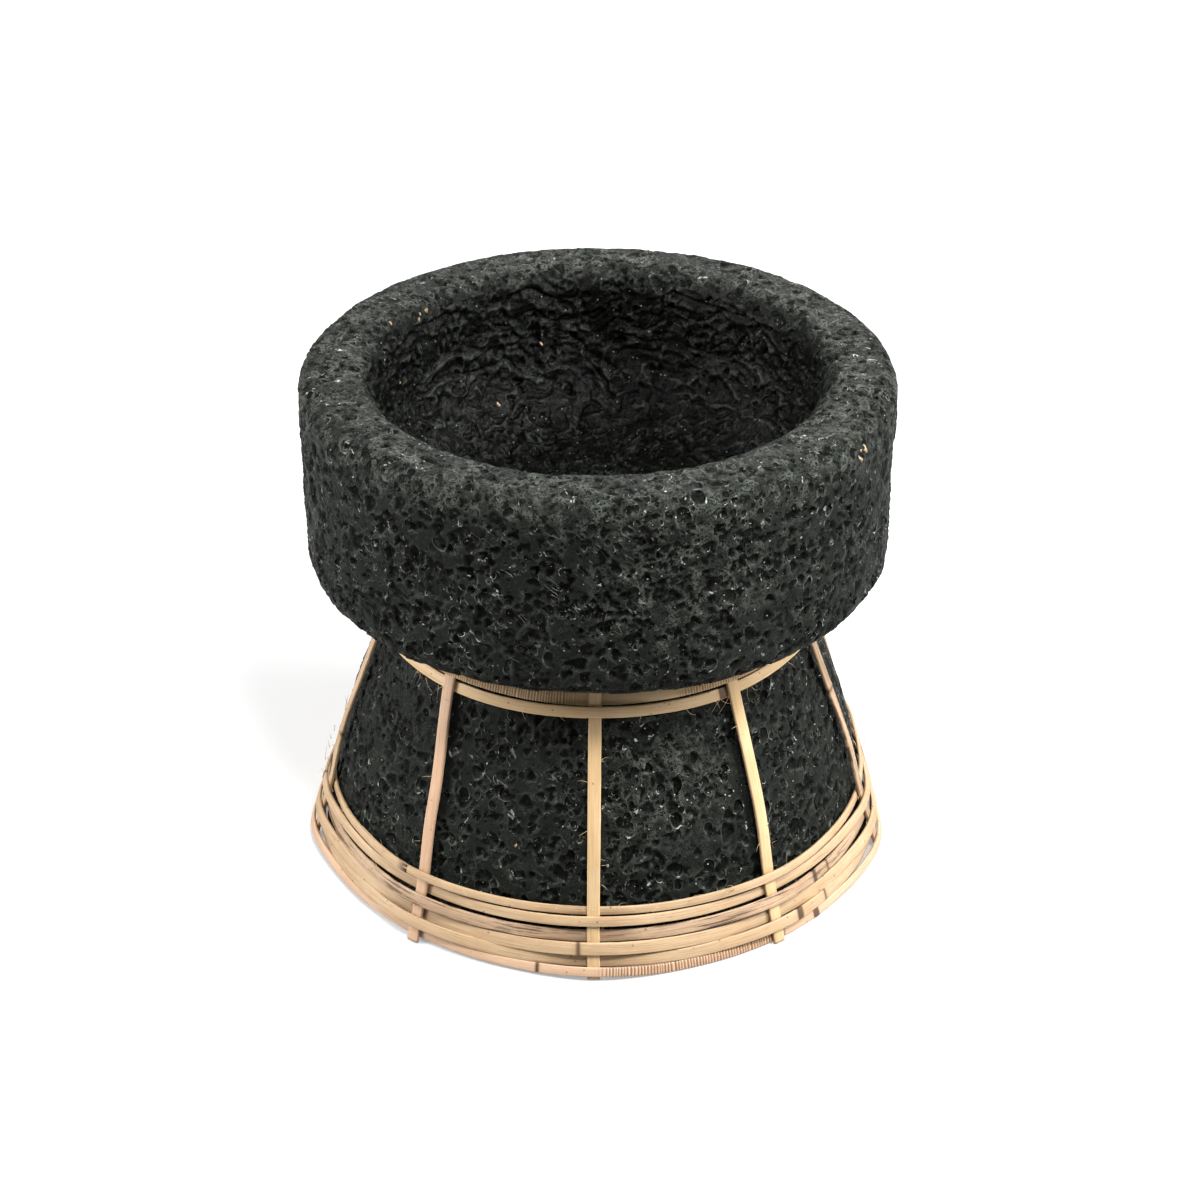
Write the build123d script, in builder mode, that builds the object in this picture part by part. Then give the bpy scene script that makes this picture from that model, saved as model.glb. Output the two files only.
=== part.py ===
"""A molcajete: a thick stone bowl and its flared foot in one piece, with a woven rattan cage round the foot.

Millimetres, +Z up. The origin is the centre of the foot's resting plane. The foot rests on Z = 0 and the
bowl opens upwards. The first rib of the cage faces -Y, and the ribs count from there towards +X.
"""

from build123d import *
from math import atan2, cos, degrees, radians
import os

# Stone: heights from the resting plane, and radii from the axis.
OVERALL_HEIGHT = 197.0
BOWL_RADIUS = 110.0
BOWL_UNDERSIDE_RADIUS = 109.0
BOWL_UNDERSIDE_HEIGHT = 119.6
MOUTH_RADIUS = 83.0
BOWL_WALL_FOOT_RADIUS = 78.0
BOWL_FLOOR_HEIGHT = 136.0
NECK_RADIUS = 75.5
NECK_HEIGHT = 109.0
WAIST_RADIUS = 97.2
WAIST_HEIGHT = 49.0
FOOT_RADIUS = 107.5
FOOT_RING_INNER_RADIUS = 88.0
UNDERSIDE_DISH_DEPTH = 3.5

# Stone: the rounding of each corner of the profile.
RIM_OUTER_ROUND = 8.0
RIM_INNER_ROUND = 9.5
BOWL_FLOOR_ROUND = 40.0
BOWL_UNDERSIDE_ROUND = 12.0
NECK_ROUND = 3.5
WAIST_ROUND = 150.0
FOOT_EDGE_ROUND = 3.0
DISH_EDGE_ROUND = 20.0

# Rattan cage: flat reed ribs and hoops, woven over one and under one.
RIB_COUNT = 10
RIB_WIDTH = 4.8
RIB_THICKNESS = 1.6
RIB_STANDOFF = 2.5
RIB_TOP_HEIGHT = 106.8
RIB_END_HEIGHT = 0.4
RIB_BEND_ROUND = 60.0
REED_EDGE_ROUND = 0.35
SKIRT_HEIGHT = 27.0
SKIRT_HEM_RADIUS = 112.3
HOOP_THICKNESS = 1.3
WEAVE_CLEARANCE = 0.15

# Hoops, from the top one down: the height of its centre line, and its width. The reeds differ in width.
NECK_HOOPS = {
    "neck_hoop_upper": (103.4, 5.0),
    "neck_hoop_lower": (98.3, 5.0),
}
BASE_HOOPS = {
    "base_hoop_1": (26.1, 3.4),
    "base_hoop_2": (22.4, 4.0),
    "base_hoop_3": (16.85, 4.8),
    "base_hoop_4": (12.1, 4.8),
    "base_hoop_5": (7.0, 4.4),
    "base_hoop_6": (2.75, 3.6),
}

RIB_SPACING = 360 / RIB_COUNT


def stone_radius(height):
    """Radius of the foot's outside at the waist or above it, where its wall is straight up to the neck."""
    rise = (height - WAIST_HEIGHT) / (NECK_HEIGHT - WAIST_HEIGHT)
    return WAIST_RADIUS + rise * (NECK_RADIUS - WAIST_RADIUS)


def skirt_radius():
    """Radius of the foot's outside where the ribs leave the stone and flare out into the skirt."""
    rise = SKIRT_HEIGHT / WAIST_HEIGHT
    return FOOT_RADIUS + rise * (WAIST_RADIUS - FOOT_RADIUS)


RIB_CORNERS = [
    (stone_radius(RIB_TOP_HEIGHT) + RIB_STANDOFF, RIB_TOP_HEIGHT),
    (WAIST_RADIUS + RIB_STANDOFF, WAIST_HEIGHT),
    (skirt_radius() + RIB_STANDOFF, SKIRT_HEIGHT),
    (SKIRT_HEM_RADIUS, RIB_END_HEIGHT),
]


def rib_slope(upper, lower):
    """Angle from upright, in radians, of the straight run of a rib between two of its corners."""
    return atan2(lower[0] - upper[0], upper[1] - lower[1])


def radius_on_run(upper, lower, height):
    """Radius of a rib's mid line at a height, on the straight run between two of its corners."""
    drop = (upper[1] - height) / (upper[1] - lower[1])
    return upper[0] + drop * (lower[0] - upper[0])


def save(part, name):
    """Label a finished piece and write its STEP file."""
    part.label = name
    export_step(part, f"parts/{name}.step")


os.makedirs("parts", exist_ok=True)

# Stone body: bowl, neck and foot, turned as one profile. The underside is dished, so it stands on a ring.
stone_corners = [
    (0, UNDERSIDE_DISH_DEPTH),
    (FOOT_RING_INNER_RADIUS - DISH_EDGE_ROUND, UNDERSIDE_DISH_DEPTH),
    (FOOT_RING_INNER_RADIUS, 0),
    (FOOT_RADIUS, 0),
    (WAIST_RADIUS, WAIST_HEIGHT),
    (NECK_RADIUS, NECK_HEIGHT),
    (BOWL_UNDERSIDE_RADIUS, BOWL_UNDERSIDE_HEIGHT),
    (BOWL_RADIUS, OVERALL_HEIGHT),
    (MOUTH_RADIUS, OVERALL_HEIGHT),
    (BOWL_WALL_FOOT_RADIUS, BOWL_FLOOR_HEIGHT),
    (0, BOWL_FLOOR_HEIGHT),
]
stone_rounds = [
    DISH_EDGE_ROUND,
    FOOT_EDGE_ROUND,
    FOOT_EDGE_ROUND,
    WAIST_ROUND,
    NECK_ROUND,
    BOWL_UNDERSIDE_ROUND,
    RIM_OUTER_ROUND,
    RIM_INNER_ROUND,
    BOWL_FLOOR_ROUND,
]
with BuildPart() as stone_body:
    with BuildSketch(Plane.XZ):
        with BuildLine():
            FilletPolyline(*stone_corners, radius=stone_rounds)
            Line(stone_corners[-1], stone_corners[0])
        make_face()
    revolve(axis=Axis.Z)
save(stone_body.part, "stone_body")

# Ribs: upright reeds, standing off the stone by the room that the hoops need to pass behind them.
for number in range(RIB_COUNT):
    rib_plane = Plane.XZ.rotated((0, 0, number * RIB_SPACING - 90))
    with BuildPart() as rib:
        with BuildSketch(rib_plane):
            with BuildLine() as mid_line:
                FilletPolyline(*RIB_CORNERS, radius=[WAIST_ROUND, RIB_BEND_ROUND])
            trace(line_width=RIB_THICKNESS)
        extrude(amount=RIB_WIDTH / 2, both=True)
        long_edges = rib.edges().filter_by(lambda edge: edge.length > 2 * RIB_WIDTH)
        fillet(long_edges, radius=REED_EDGE_ROUND)
    save(rib.part, f"rib_{number + 1:02d}")


def make_hoop(name, height, width, run, first_over):
    """Make one hoop as ten arcs, each over or under its rib and tangent to the arcs beside it.

    run is the pair of rib corners that the hoop lies between, and first_over says whether it passes over
    the first rib. An arc over a rib is centred off the axis towards its rib, and one under a rib as far off
    it the other way, so that every arc turns through one rib spacing and neighbours meet with no corner.
    """
    slope = rib_slope(*run)
    swing = ((RIB_THICKNESS + HOOP_THICKNESS) / 2 + WEAVE_CLEARANCE) / cos(slope)
    offset = swing / (1 - cos(radians(RIB_SPACING / 2)))
    mid_radius = radius_on_run(*run, height)
    up = Vector(0, 0, 1)
    with BuildPart() as hoop:
        for number in range(RIB_COUNT):
            side = 1 if (number % 2 == 0) == first_over else -1
            to_rib = Vector(0, -1, 0).rotate(Axis.Z, number * RIB_SPACING)
            start = to_rib.rotate(Axis.Z, -RIB_SPACING / 2)
            centre = to_rib * side * offset
            arc_radius = mid_radius + side * (swing - offset)
            with BuildSketch(Plane(origin=centre + up * height, x_dir=start, z_dir=start.cross(up))):
                with Locations((arc_radius, 0)):
                    RectangleRounded(HOOP_THICKNESS, width, REED_EDGE_ROUND, rotation=degrees(slope))
            revolve(axis=Axis(centre, up), revolution_arc=RIB_SPACING)
    save(hoop.part, name)


def make_hoops(hoops, run, first_over):
    """Make a band of hoops from the top one down, each woven opposite to the one above it."""
    for name, (height, width) in hoops.items():
        make_hoop(name, height, width, run, first_over)
        first_over = not first_over


# Neck hoops lie close under the bowl, and base hoops are a band round the skirt.
make_hoops(NECK_HOOPS, RIB_CORNERS[0:2], first_over=False)
make_hoops(BASE_HOOPS, RIB_CORNERS[2:4], first_over=False)
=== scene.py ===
"""The finished look of the molcajete: a pitted stone bowl on a flared foot, dressed in woven rattan.

Shapes are worked out in millimetres and drawn in metres. +Z is up, the foot stands on Z = 0, and an
azimuth counts from -Y, the front, towards +X.
"""

import logging
import math
from dataclasses import dataclass, field
from enum import Enum

import bpy
import numpy as np
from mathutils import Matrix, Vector


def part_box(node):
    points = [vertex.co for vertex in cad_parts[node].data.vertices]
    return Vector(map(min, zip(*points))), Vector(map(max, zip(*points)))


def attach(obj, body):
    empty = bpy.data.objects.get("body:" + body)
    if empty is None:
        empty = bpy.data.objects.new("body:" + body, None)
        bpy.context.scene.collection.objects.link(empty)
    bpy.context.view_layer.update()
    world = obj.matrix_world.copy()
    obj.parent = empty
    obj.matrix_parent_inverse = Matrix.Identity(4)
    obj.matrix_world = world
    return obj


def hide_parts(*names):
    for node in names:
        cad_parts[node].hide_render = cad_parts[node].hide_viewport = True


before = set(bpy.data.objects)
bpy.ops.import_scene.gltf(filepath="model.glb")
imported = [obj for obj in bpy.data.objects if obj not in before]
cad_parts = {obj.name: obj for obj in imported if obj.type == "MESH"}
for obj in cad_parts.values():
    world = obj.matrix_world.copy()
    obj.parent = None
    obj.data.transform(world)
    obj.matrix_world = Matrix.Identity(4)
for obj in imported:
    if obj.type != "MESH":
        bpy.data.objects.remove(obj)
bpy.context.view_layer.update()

log = logging.getLogger("molcajete")

MM = 0.001
BODY = "root"
TURN = 2 * math.pi


# ----------------------------------------------------------------------------------------------------
# Shape tools
# ----------------------------------------------------------------------------------------------------


class LatticeNoise:
    """Smooth random values over space, the same on every run for the same seed."""

    PRIMES = (73856093, 19349663, 83492791)

    def __init__(self, seed: int) -> None:
        """Keep the seed that makes this noise differ from others."""
        self.seed = seed

    def _corner(self, x: np.ndarray, y: np.ndarray, z: np.ndarray) -> np.ndarray:
        """Give a random value from -1 to 1 for each whole-number lattice point.

        Args:
            x, y, z: the lattice point's coordinates, as 64-bit whole numbers.

        Returns:
            One value for each point.
        """
        mixed = (x * self.PRIMES[0]) ^ (y * self.PRIMES[1]) ^ (z * self.PRIMES[2]) ^ (self.seed * 2654435)
        mixed &= 0xFFFFFFFF
        mixed = ((mixed >> 16) ^ mixed) * 0x45D9F3B & 0xFFFFFFFF
        mixed = ((mixed >> 16) ^ mixed) * 0x45D9F3B & 0xFFFFFFFF
        mixed = (mixed >> 16) ^ mixed
        return (mixed & 0xFFFF) / 32767.5 - 1

    def at(self, points: np.ndarray, size: float) -> np.ndarray:
        """Read the noise.

        Args:
            points: an array whose last axis is x, y and z.
            size: the width of one blob of the noise, in the same unit.

        Returns:
            Values of about -1 to 1, in the shape of points without its last axis.
        """
        scaled = points / size
        cell = np.floor(scaled).astype(np.int64)
        part = scaled - cell
        ease = part * part * (3 - 2 * part)
        value = 0.0
        for corner in range(8):
            step = np.array([corner & 1, corner >> 1 & 1, corner >> 2 & 1])
            weight = np.prod(np.where(step, ease, 1 - ease), axis=-1)
            place = cell + step
            value = value + weight * self._corner(place[..., 0], place[..., 1], place[..., 2])
        return value

    def layers(self, points: np.ndarray, size: float, count: int, keep: float = 0.5) -> np.ndarray:
        """Add up finer and finer noise.

        Args:
            points: an array whose last axis is x, y and z.
            size: the width of the coarsest blob.
            count: how many layers, each half as wide as the last.
            keep: each layer's strength as a share of the last one's.

        Returns:
            Values of about -1 to 1, in the shape of points without its last axis.
        """
        total, strength, whole = 0.0, 1.0, 0.0
        for layer in range(count):
            total = total + strength * self.at(points + 17.3 * layer, size / 2**layer)
            whole += strength
            strength *= keep
        return total / whole


def ease_step(low: float, high: float, value: np.ndarray) -> np.ndarray:
    """Rise smoothly from 0 at low to 1 at high, or fall if low is the larger.

    Args:
        low: where the result is 0.
        high: where the result is 1.
        value: the values to read.

    Returns:
        Values from 0 to 1, in value's shape.
    """
    part = np.clip((value - low) / (high - low), 0, 1)
    return part * part * (3 - 2 * part)


def bell(value: np.ndarray, middle: float, width: float) -> np.ndarray:
    """Give a smooth hump of height 1 at middle, whose standard deviation is width."""
    return np.exp(-(((value - middle) / width) ** 2) / 2)


@dataclass(frozen=True)
class Outline:
    """A line through corners, each rounded to its own radius, as (radius from the axis, height)."""

    corners: tuple[tuple[float, float], ...]
    rounds: tuple[float, ...]

    def bends(self, steps: int = 24) -> np.ndarray:
        """Work out the outline as closely spaced points.

        Args:
            steps: how many points an arc gets.

        Returns:
            The points, from the first corner to the last.
        """
        run = [np.array(self.corners[0], float)]
        for number, bend in enumerate(self.rounds, start=1):
            here = np.array(self.corners[number], float)
            back = np.array(self.corners[number - 1]) - here
            ahead = np.array(self.corners[number + 1]) - here
            back /= np.linalg.norm(back)
            ahead /= np.linalg.norm(ahead)
            half = math.acos(float(np.clip(back @ ahead, -1, 1))) / 2
            inwards = (back + ahead) / np.linalg.norm(back + ahead)
            centre = here + inwards * bend / math.sin(half)
            first = here + back * bend / math.tan(half) - centre
            last = here + ahead * bend / math.tan(half) - centre
            start = math.atan2(first[1], first[0])
            sweep = (math.atan2(last[1], last[0]) - start + math.pi) % TURN - math.pi
            for angle in start + sweep * np.linspace(0, 1, steps):
                run.append(centre + bend * np.array([math.cos(angle), math.sin(angle)]))
        run.append(np.array(self.corners[-1], float))
        return np.array(run)


def lengths_along(points: np.ndarray) -> np.ndarray:
    """Give each point's distance along a line of points from its first one."""
    steps = np.linalg.norm(np.diff(points, axis=0), axis=1)
    return np.concatenate([[0], np.cumsum(steps)])


def read_line(points: np.ndarray, along: np.ndarray, wanted: np.ndarray) -> np.ndarray:
    """Read a line of points at other distances along it.

    Args:
        points: the line's points.
        along: their distances along it.
        wanted: the distances to read.

    Returns:
        One point for each wanted distance.
    """
    return np.stack([np.interp(wanted, along, points[:, axis]) for axis in range(points.shape[1])], -1)


def unit(vectors: np.ndarray) -> np.ndarray:
    """Scale vectors, on the last axis, to length 1."""
    return vectors / np.maximum(np.linalg.norm(vectors, axis=-1, keepdims=True), 1e-12)


def around_axis(radius: np.ndarray, azimuth: np.ndarray, height: np.ndarray) -> np.ndarray:
    """Turn cylinder coordinates, with azimuth in radians, into x, y and z on a new last axis."""
    across, ahead = radius * np.sin(azimuth), -radius * np.cos(azimuth)
    return np.stack(np.broadcast_arrays(across, ahead, height), -1)


def turned_from(azimuth: np.ndarray, place: float) -> np.ndarray:
    """Give how far each azimuth has turned from a place, from -180 to 180 degrees."""
    return (azimuth - place + 180) % 360 - 180


def noise_track(along: np.ndarray, lane: float = 0.0) -> np.ndarray:
    """Lay lengths out as points along x, in a lane of their own, to read noise at."""
    return np.stack([along, np.full_like(along, lane), np.zeros_like(along)], -1)


def skin_faces(rows: int, columns: int) -> tuple[np.ndarray, np.ndarray]:
    """List the faces of a closed skin: rings of points in rows, then one point for each end.

    Args:
        rows: how many rings there are.
        columns: how many points a ring has.

    Returns:
        The point numbers of its four-sided faces, and of the three-sided faces round its end points.
    """
    number = np.arange(rows * columns).reshape(rows, columns)
    beside = np.roll(number, -1, axis=1)
    quads = np.stack([number[:-1], beside[:-1], beside[1:], number[1:]], -1).reshape(-1, 4)
    first = np.stack([np.full(columns, rows * columns), beside[0], number[0]], -1)
    last = np.stack([number[-1], beside[-1], np.full(columns, rows * columns + 1)], -1)
    return quads, np.concatenate([first, last])


def grid_values(values: np.ndarray, shape: tuple[int, int]) -> np.ndarray:
    """Spread values over a grid of points and over the single point at each of its two ends."""
    flat = np.broadcast_to(values, shape).reshape(-1)
    return np.concatenate([flat, flat[:1], flat[-1:]])


def make_piece(
    name: str,
    points: np.ndarray,
    quads: np.ndarray,
    triangles: np.ndarray | None = None,
    values: dict[str, np.ndarray] | None = None,
) -> bpy.types.Object:
    """Make a smooth mesh object.

    Args:
        name: the piece's name.
        points: its points, in millimetres.
        quads: four point numbers for each four-sided face.
        triangles: three point numbers for each three-sided face.
        values: what the finish reads at each point, a number or a vector, by name.

    Returns:
        The object, linked to the scene.
    """
    mesh = bpy.data.meshes.new(name)
    sides = [quads.reshape(-1)]
    starts = np.arange(len(quads)) * 4
    if triangles is not None:
        sides.append(triangles.reshape(-1))
        starts = np.concatenate([starts, len(quads) * 4 + np.arange(len(triangles)) * 3])
    loops = np.concatenate(sides).astype(np.int32)
    mesh.vertices.add(len(points))
    mesh.vertices.foreach_set("co", (points * MM).astype(np.float32).reshape(-1))
    mesh.loops.add(len(loops))
    mesh.loops.foreach_set("vertex_index", loops)
    mesh.polygons.add(len(starts))
    mesh.polygons.foreach_set("loop_start", starts.astype(np.int32))
    mesh.polygons.foreach_set("use_smooth", np.ones(len(starts), bool))
    for title, numbers in (values or {}).items():
        kind, key = ("FLOAT", "value") if numbers.ndim == 1 else ("FLOAT_VECTOR", "vector")
        layer = mesh.attributes.new(title, kind, "POINT")
        layer.data.foreach_set(key, numbers.astype(np.float32).reshape(-1))
    mesh.update(calc_edges=True)
    mesh.validate()
    piece = bpy.data.objects.new(name, mesh)
    bpy.context.scene.collection.objects.link(piece)
    return piece


def dress(piece: bpy.types.Object, material: bpy.types.Material, slot: str, *nodes: str) -> None:
    """Give a piece its material and its place in the frame.

    Args:
        piece: the piece.
        material: its finish.
        slot: its material slot's name; not used.
        nodes: the nodes of the solid model that it stands for.
    """
    piece.data.materials.append(material)
    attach(piece, BODY)
    if nodes:
        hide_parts(*nodes)
    log.info("%s: %d points, %s", piece.name, len(piece.data.vertices), material.name)


# ----------------------------------------------------------------------------------------------------
# Finishes
# ----------------------------------------------------------------------------------------------------

Colour = tuple[float, float, float]
Pattern = tuple[float, float, float]
Socket = bpy.types.NodeSocket
Value = bpy.types.NodeSocket | float | Colour


class Sheet:
    """A node tree, with short ways to add nodes and join them."""

    def __init__(self, tree: bpy.types.NodeTree) -> None:
        """Keep the tree that the nodes go into."""
        self.tree = tree

    def add(
        self, kind: str, inputs: dict[str | int, Value] | None = None, **settings: str
    ) -> bpy.types.Node:
        """Add a node.

        Args:
            kind: the node's type without its leading "ShaderNode".
            inputs: a socket to join or a constant to set, by the input's name or number.
            settings: the node's own properties.

        Returns:
            The node.
        """
        node = self.tree.nodes.new("ShaderNode" + kind)
        for name, value in settings.items():
            setattr(node, name, value)
        for key, value in (inputs or {}).items():
            if isinstance(value, bpy.types.NodeSocket):
                self.tree.links.new(value, node.inputs[key])
            elif isinstance(value, tuple) and node.inputs[key].type == "RGBA":
                node.inputs[key].default_value = (*value, 1.0)
            else:
                node.inputs[key].default_value = value
        return node

    def maths(self, operation: str, *terms: Value) -> Socket:
        """Join sockets or numbers by one operation and give the result's socket."""
        return self.add("Math", dict(enumerate(terms)), operation=operation).outputs[0]

    def remap(
        self, value: Socket, low: float, high: float, to_low: float = 0.0, to_high: float = 1.0
    ) -> Socket:
        """Stretch a value from one range to another.

        Args:
            value: the socket to read.
            low, high: the range it has.
            to_low, to_high: the range it gets, outside which it is cut off.

        Returns:
            The result's socket.
        """
        inputs = {0: value, 1: low, 2: high, 3: to_low, 4: to_high}
        return self.add("MapRange", inputs, interpolation_type="SMOOTHSTEP").outputs[0]

    def blend(self, share: Value, first: Value, second: Value) -> Socket:
        """Blend two colours.

        Args:
            share: how much of the second, from 0 to 1, as a socket or a number.
            first, second: each a colour or a socket.

        Returns:
            The blended colour's socket.
        """
        node = self.add("Mix", data_type="RGBA")
        for place, value in ((0, share), (6, first), (7, second)):
            if isinstance(value, bpy.types.NodeSocket):
                self.tree.links.new(value, node.inputs[place])
            elif isinstance(value, tuple):
                node.inputs[place].default_value = (*value, 1.0)
            else:
                node.inputs[place].default_value = value
        return node.outputs[2]

    def stretch(self, where: Socket, scale: Colour) -> Socket:
        """Scale a place along each axis and give the result's socket."""
        return self.add("VectorMath", {0: where, 1: scale}, operation="MULTIPLY").outputs[0]

    def noise(self, where: Socket, scale: Value, detail: float = 3.0, **more: float) -> Socket:
        """Add a noise texture and give its value's socket.

        Args:
            where: the socket of the place to read it at.
            scale: how many blobs there are to a unit.
            detail: how many finer layers it has.
            more: other inputs of the texture, by name.

        Returns:
            The noise's socket, from 0 to 1.
        """
        inputs = {"Vector": where, "Scale": scale, "Detail": detail}
        return self.add("TexNoise", inputs | more).outputs[0]


Sockets = bpy.types.NodeOutputs | dict[str, Socket]


class SharedEffect:
    """A shader node group that more than one finish uses, made once."""

    title = ""
    takes: dict[str, tuple[str, object]] = {}
    gives: dict[str, str] = {}

    @classmethod
    def tree(cls) -> bpy.types.NodeTree:
        """Give the group's tree, building it on first use.

        Returns:
            The node group.
        """
        known = bpy.data.node_groups.get(cls.title)
        if known:
            return known
        tree = bpy.data.node_groups.new(cls.title, "ShaderNodeTree")
        for name, (kind, value) in cls.takes.items():
            socket = tree.interface.new_socket(name, in_out="INPUT", socket_type=kind)
            if value is not None:
                socket.default_value = value
        for name, kind in cls.gives.items():
            tree.interface.new_socket(name, in_out="OUTPUT", socket_type=kind)
        sheet = Sheet(tree)
        entry = tree.nodes.new("NodeGroupInput")
        leave = tree.nodes.new("NodeGroupOutput")
        for name, socket in cls.build(sheet, entry.outputs).items():
            tree.links.new(socket, leave.inputs[name])
        return tree

    @classmethod
    def build(cls, sheet: Sheet, given: Sockets) -> dict[str, Socket]:
        """Make the group's nodes.

        Args:
            sheet: the group's sheet.
            given: the sockets of the group's inputs, by name.

        Returns:
            The socket that feeds each output, by name.
        """
        raise NotImplementedError

    @classmethod
    def place(cls, sheet: Sheet, **inputs: Value) -> bpy.types.Node:
        """Put the group into a material.

        Args:
            sheet: the material's sheet.
            inputs: a socket or a constant for each input, with _ for each space in its name.

        Returns:
            The group's node.
        """
        node = sheet.tree.nodes.new("ShaderNodeGroup")
        node.node_tree = cls.tree()
        for key, value in inputs.items():
            socket = node.inputs[key.replace("_", " ")]
            if isinstance(value, bpy.types.NodeSocket):
                sheet.tree.links.new(value, socket)
            else:
                socket.default_value = (*value, 1.0) if isinstance(value, tuple) else value
        return node


class ToneDrift(SharedEffect):
    """Slow changes of tone over a surface, as in any natural material."""

    title = "tone_drift"
    takes = {
        "Place": ("NodeSocketVector", None),
        "Colour": ("NodeSocketColor", (0.5, 0.5, 0.5, 1.0)),
        "Other Colour": ("NodeSocketColor", (0.4, 0.4, 0.4, 1.0)),
        "Patch Scale": ("NodeSocketFloat", 30.0),
        "Strength": ("NodeSocketFloat", 0.5),
    }
    gives = {"Colour": "NodeSocketColor"}

    @classmethod
    def build(cls, sheet: Sheet, given: Sockets) -> dict[str, Socket]:
        """Blend the two colours by a soft noise.

        Args:
            sheet: the group's sheet.
            given: the sockets of the group's inputs, by name.

        Returns:
            The socket that feeds each output, by name.
        """
        cloud = sheet.noise(given["Place"], given["Patch Scale"], 4.0, Roughness=0.6)
        drift = sheet.remap(cloud, 0.3, 0.7)
        share = sheet.maths("MULTIPLY", drift, given["Strength"])
        return {"Colour": sheet.blend(share, given["Colour"], given["Other Colour"])}


class Flecks(SharedEffect):
    """Small scattered spots, only in some of the cells that the surface is divided into."""

    title = "flecks"
    takes = {
        "Place": ("NodeSocketVector", None),
        "Cell Scale": ("NodeSocketFloat", 500.0),
        "Share": ("NodeSocketFloat", 0.1),
        "Spot Size": ("NodeSocketFloat", 0.3),
    }
    gives = {"Spots": "NodeSocketFloat"}

    @classmethod
    def build(cls, sheet: Sheet, given: Sockets) -> dict[str, Socket]:
        """Keep the middle of a few Voronoi cells.

        Args:
            sheet: the group's sheet.
            given: the sockets of the group's inputs, by name.

        Returns:
            The socket that feeds each output, by name.
        """
        cells = sheet.add("TexVoronoi", {"Vector": given["Place"], "Scale": given["Cell Scale"]})
        chosen = sheet.add("SeparateColor", {0: cells.outputs["Color"]}).outputs[0]
        kept = sheet.maths("LESS_THAN", chosen, given["Share"])
        inner = sheet.maths("MULTIPLY", given["Spot Size"], 0.5)
        node = sheet.add("MapRange", {0: cells.outputs["Distance"], 3: 1.0, 4: 0.0})
        sheet.tree.links.new(inner, node.inputs[1])
        sheet.tree.links.new(given["Spot Size"], node.inputs[2])
        return {"Spots": sheet.maths("MULTIPLY", kept, node.outputs[0])}


class Pores(SharedEffect):
    """Small burst bubbles: round hollows, with painted shade on the upper wall and a painted highlight on
    the thin lip below.
    """

    title = "pores"
    takes = {
        "Place": ("NodeSocketVector", None),
        "Cell Scale": ("NodeSocketFloat", 500.0),
        "Reach": ("NodeSocketFloat", 0.42),
        "Share": ("NodeSocketFloat", 0.8),
    }
    gives = {"Hollow": "NodeSocketFloat", "Shade": "NodeSocketFloat", "LitLip": "NodeSocketFloat"}

    @classmethod
    def build(cls, sheet: Sheet, given: Sockets) -> dict[str, Socket]:
        """Sink the middles of warped cells, with a steep wall and a raised ring round each.

        Args:
            sheet: the group's sheet.
            given: the sockets of the group's inputs, by name.

        Returns:
            The socket that feeds each output, by name.
        """
        push = sheet.add("TexNoise", {"Vector": given["Place"], "Scale": given["Cell Scale"], "Detail": 1.0})
        shift = sheet.add("VectorMath", {0: push.outputs["Color"], 1: (0.5, 0.5, 0.5)}, operation="SUBTRACT")
        span = sheet.maths("DIVIDE", 0.5, given["Cell Scale"])
        warp = sheet.add("VectorMath", {0: shift.outputs[0], "Scale": span}, operation="SCALE")
        moved = sheet.add("VectorMath", {0: given["Place"], 1: warp.outputs[0]}, operation="ADD").outputs[0]
        cells = sheet.add("TexVoronoi", {"Vector": moved, "Scale": given["Cell Scale"]})
        random = sheet.add("SeparateColor", {0: cells.outputs["Color"]})
        kept = sheet.maths("LESS_THAN", random.outputs[0], given["Share"])
        part = sheet.maths("MULTIPLY_ADD", random.outputs[1], 0.6, 0.5)
        reach = sheet.maths("MULTIPLY", given["Reach"], part)
        ring = sheet.maths("DIVIDE", cells.outputs["Distance"], reach)
        away = sheet.add("VectorMath", {0: moved, 1: cells.outputs["Position"]}, operation="SUBTRACT")
        rise = sheet.add("SeparateXYZ", {0: away.outputs[0]}).outputs[2]
        rise = sheet.maths("DIVIDE", sheet.maths("MULTIPLY", rise, given["Cell Scale"]), reach)
        # Painted light: the upper wall is darkened as painted shade, and the lip is kept on the lower half
        # only, as a painted highlight.
        above = sheet.remap(rise, -0.45, 0.2)
        below = sheet.remap(rise, 0.5, -0.3, 0.25, 1.0)
        hollow = sheet.remap(ring, 0.7, 1.0, 1.0, 0.0)
        wall = sheet.remap(ring, 0.9, 1.0, 1.0, 0.0)
        shade = sheet.maths("MULTIPLY", wall, above)
        ridge = sheet.maths("MULTIPLY", sheet.remap(ring, 0.92, 1.0), sheet.remap(ring, 1.1, 1.24, 1.0, 0.0))
        return {
            "Hollow": sheet.maths("MULTIPLY", kept, hollow),
            "Shade": sheet.maths("MULTIPLY", kept, shade),
            "LitLip": sheet.maths("MULTIPLY", kept, sheet.maths("MULTIPLY", ridge, below)),
        }


class Squiggles(SharedEffect):
    """Thin raised lines that wander like worm tracks, as where wet skin has shrunk."""

    title = "squiggles"
    takes = {
        "Place": ("NodeSocketVector", None),
        "Track Scale": ("NodeSocketFloat", 320.0),
        "Track Width": ("NodeSocketFloat", 0.045),
    }
    gives = {"Track": "NodeSocketFloat"}

    @classmethod
    def build(cls, sheet: Sheet, given: Sockets) -> dict[str, Socket]:
        """Follow the middle level of a soft noise.

        Args:
            sheet: the group's sheet.
            given: the sockets of the group's inputs, by name.

        Returns:
            The socket that feeds each output, by name.
        """
        cloud = sheet.noise(given["Place"], given["Track Scale"], 1.5, Distortion=0.6)
        away = sheet.maths("ABSOLUTE", sheet.maths("SUBTRACT", cloud, 0.5))
        ratio = sheet.maths("DIVIDE", away, given["Track Width"])
        return {"Track": sheet.remap(ratio, 0.2, 1.0, 1.0, 0.0)}


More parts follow.
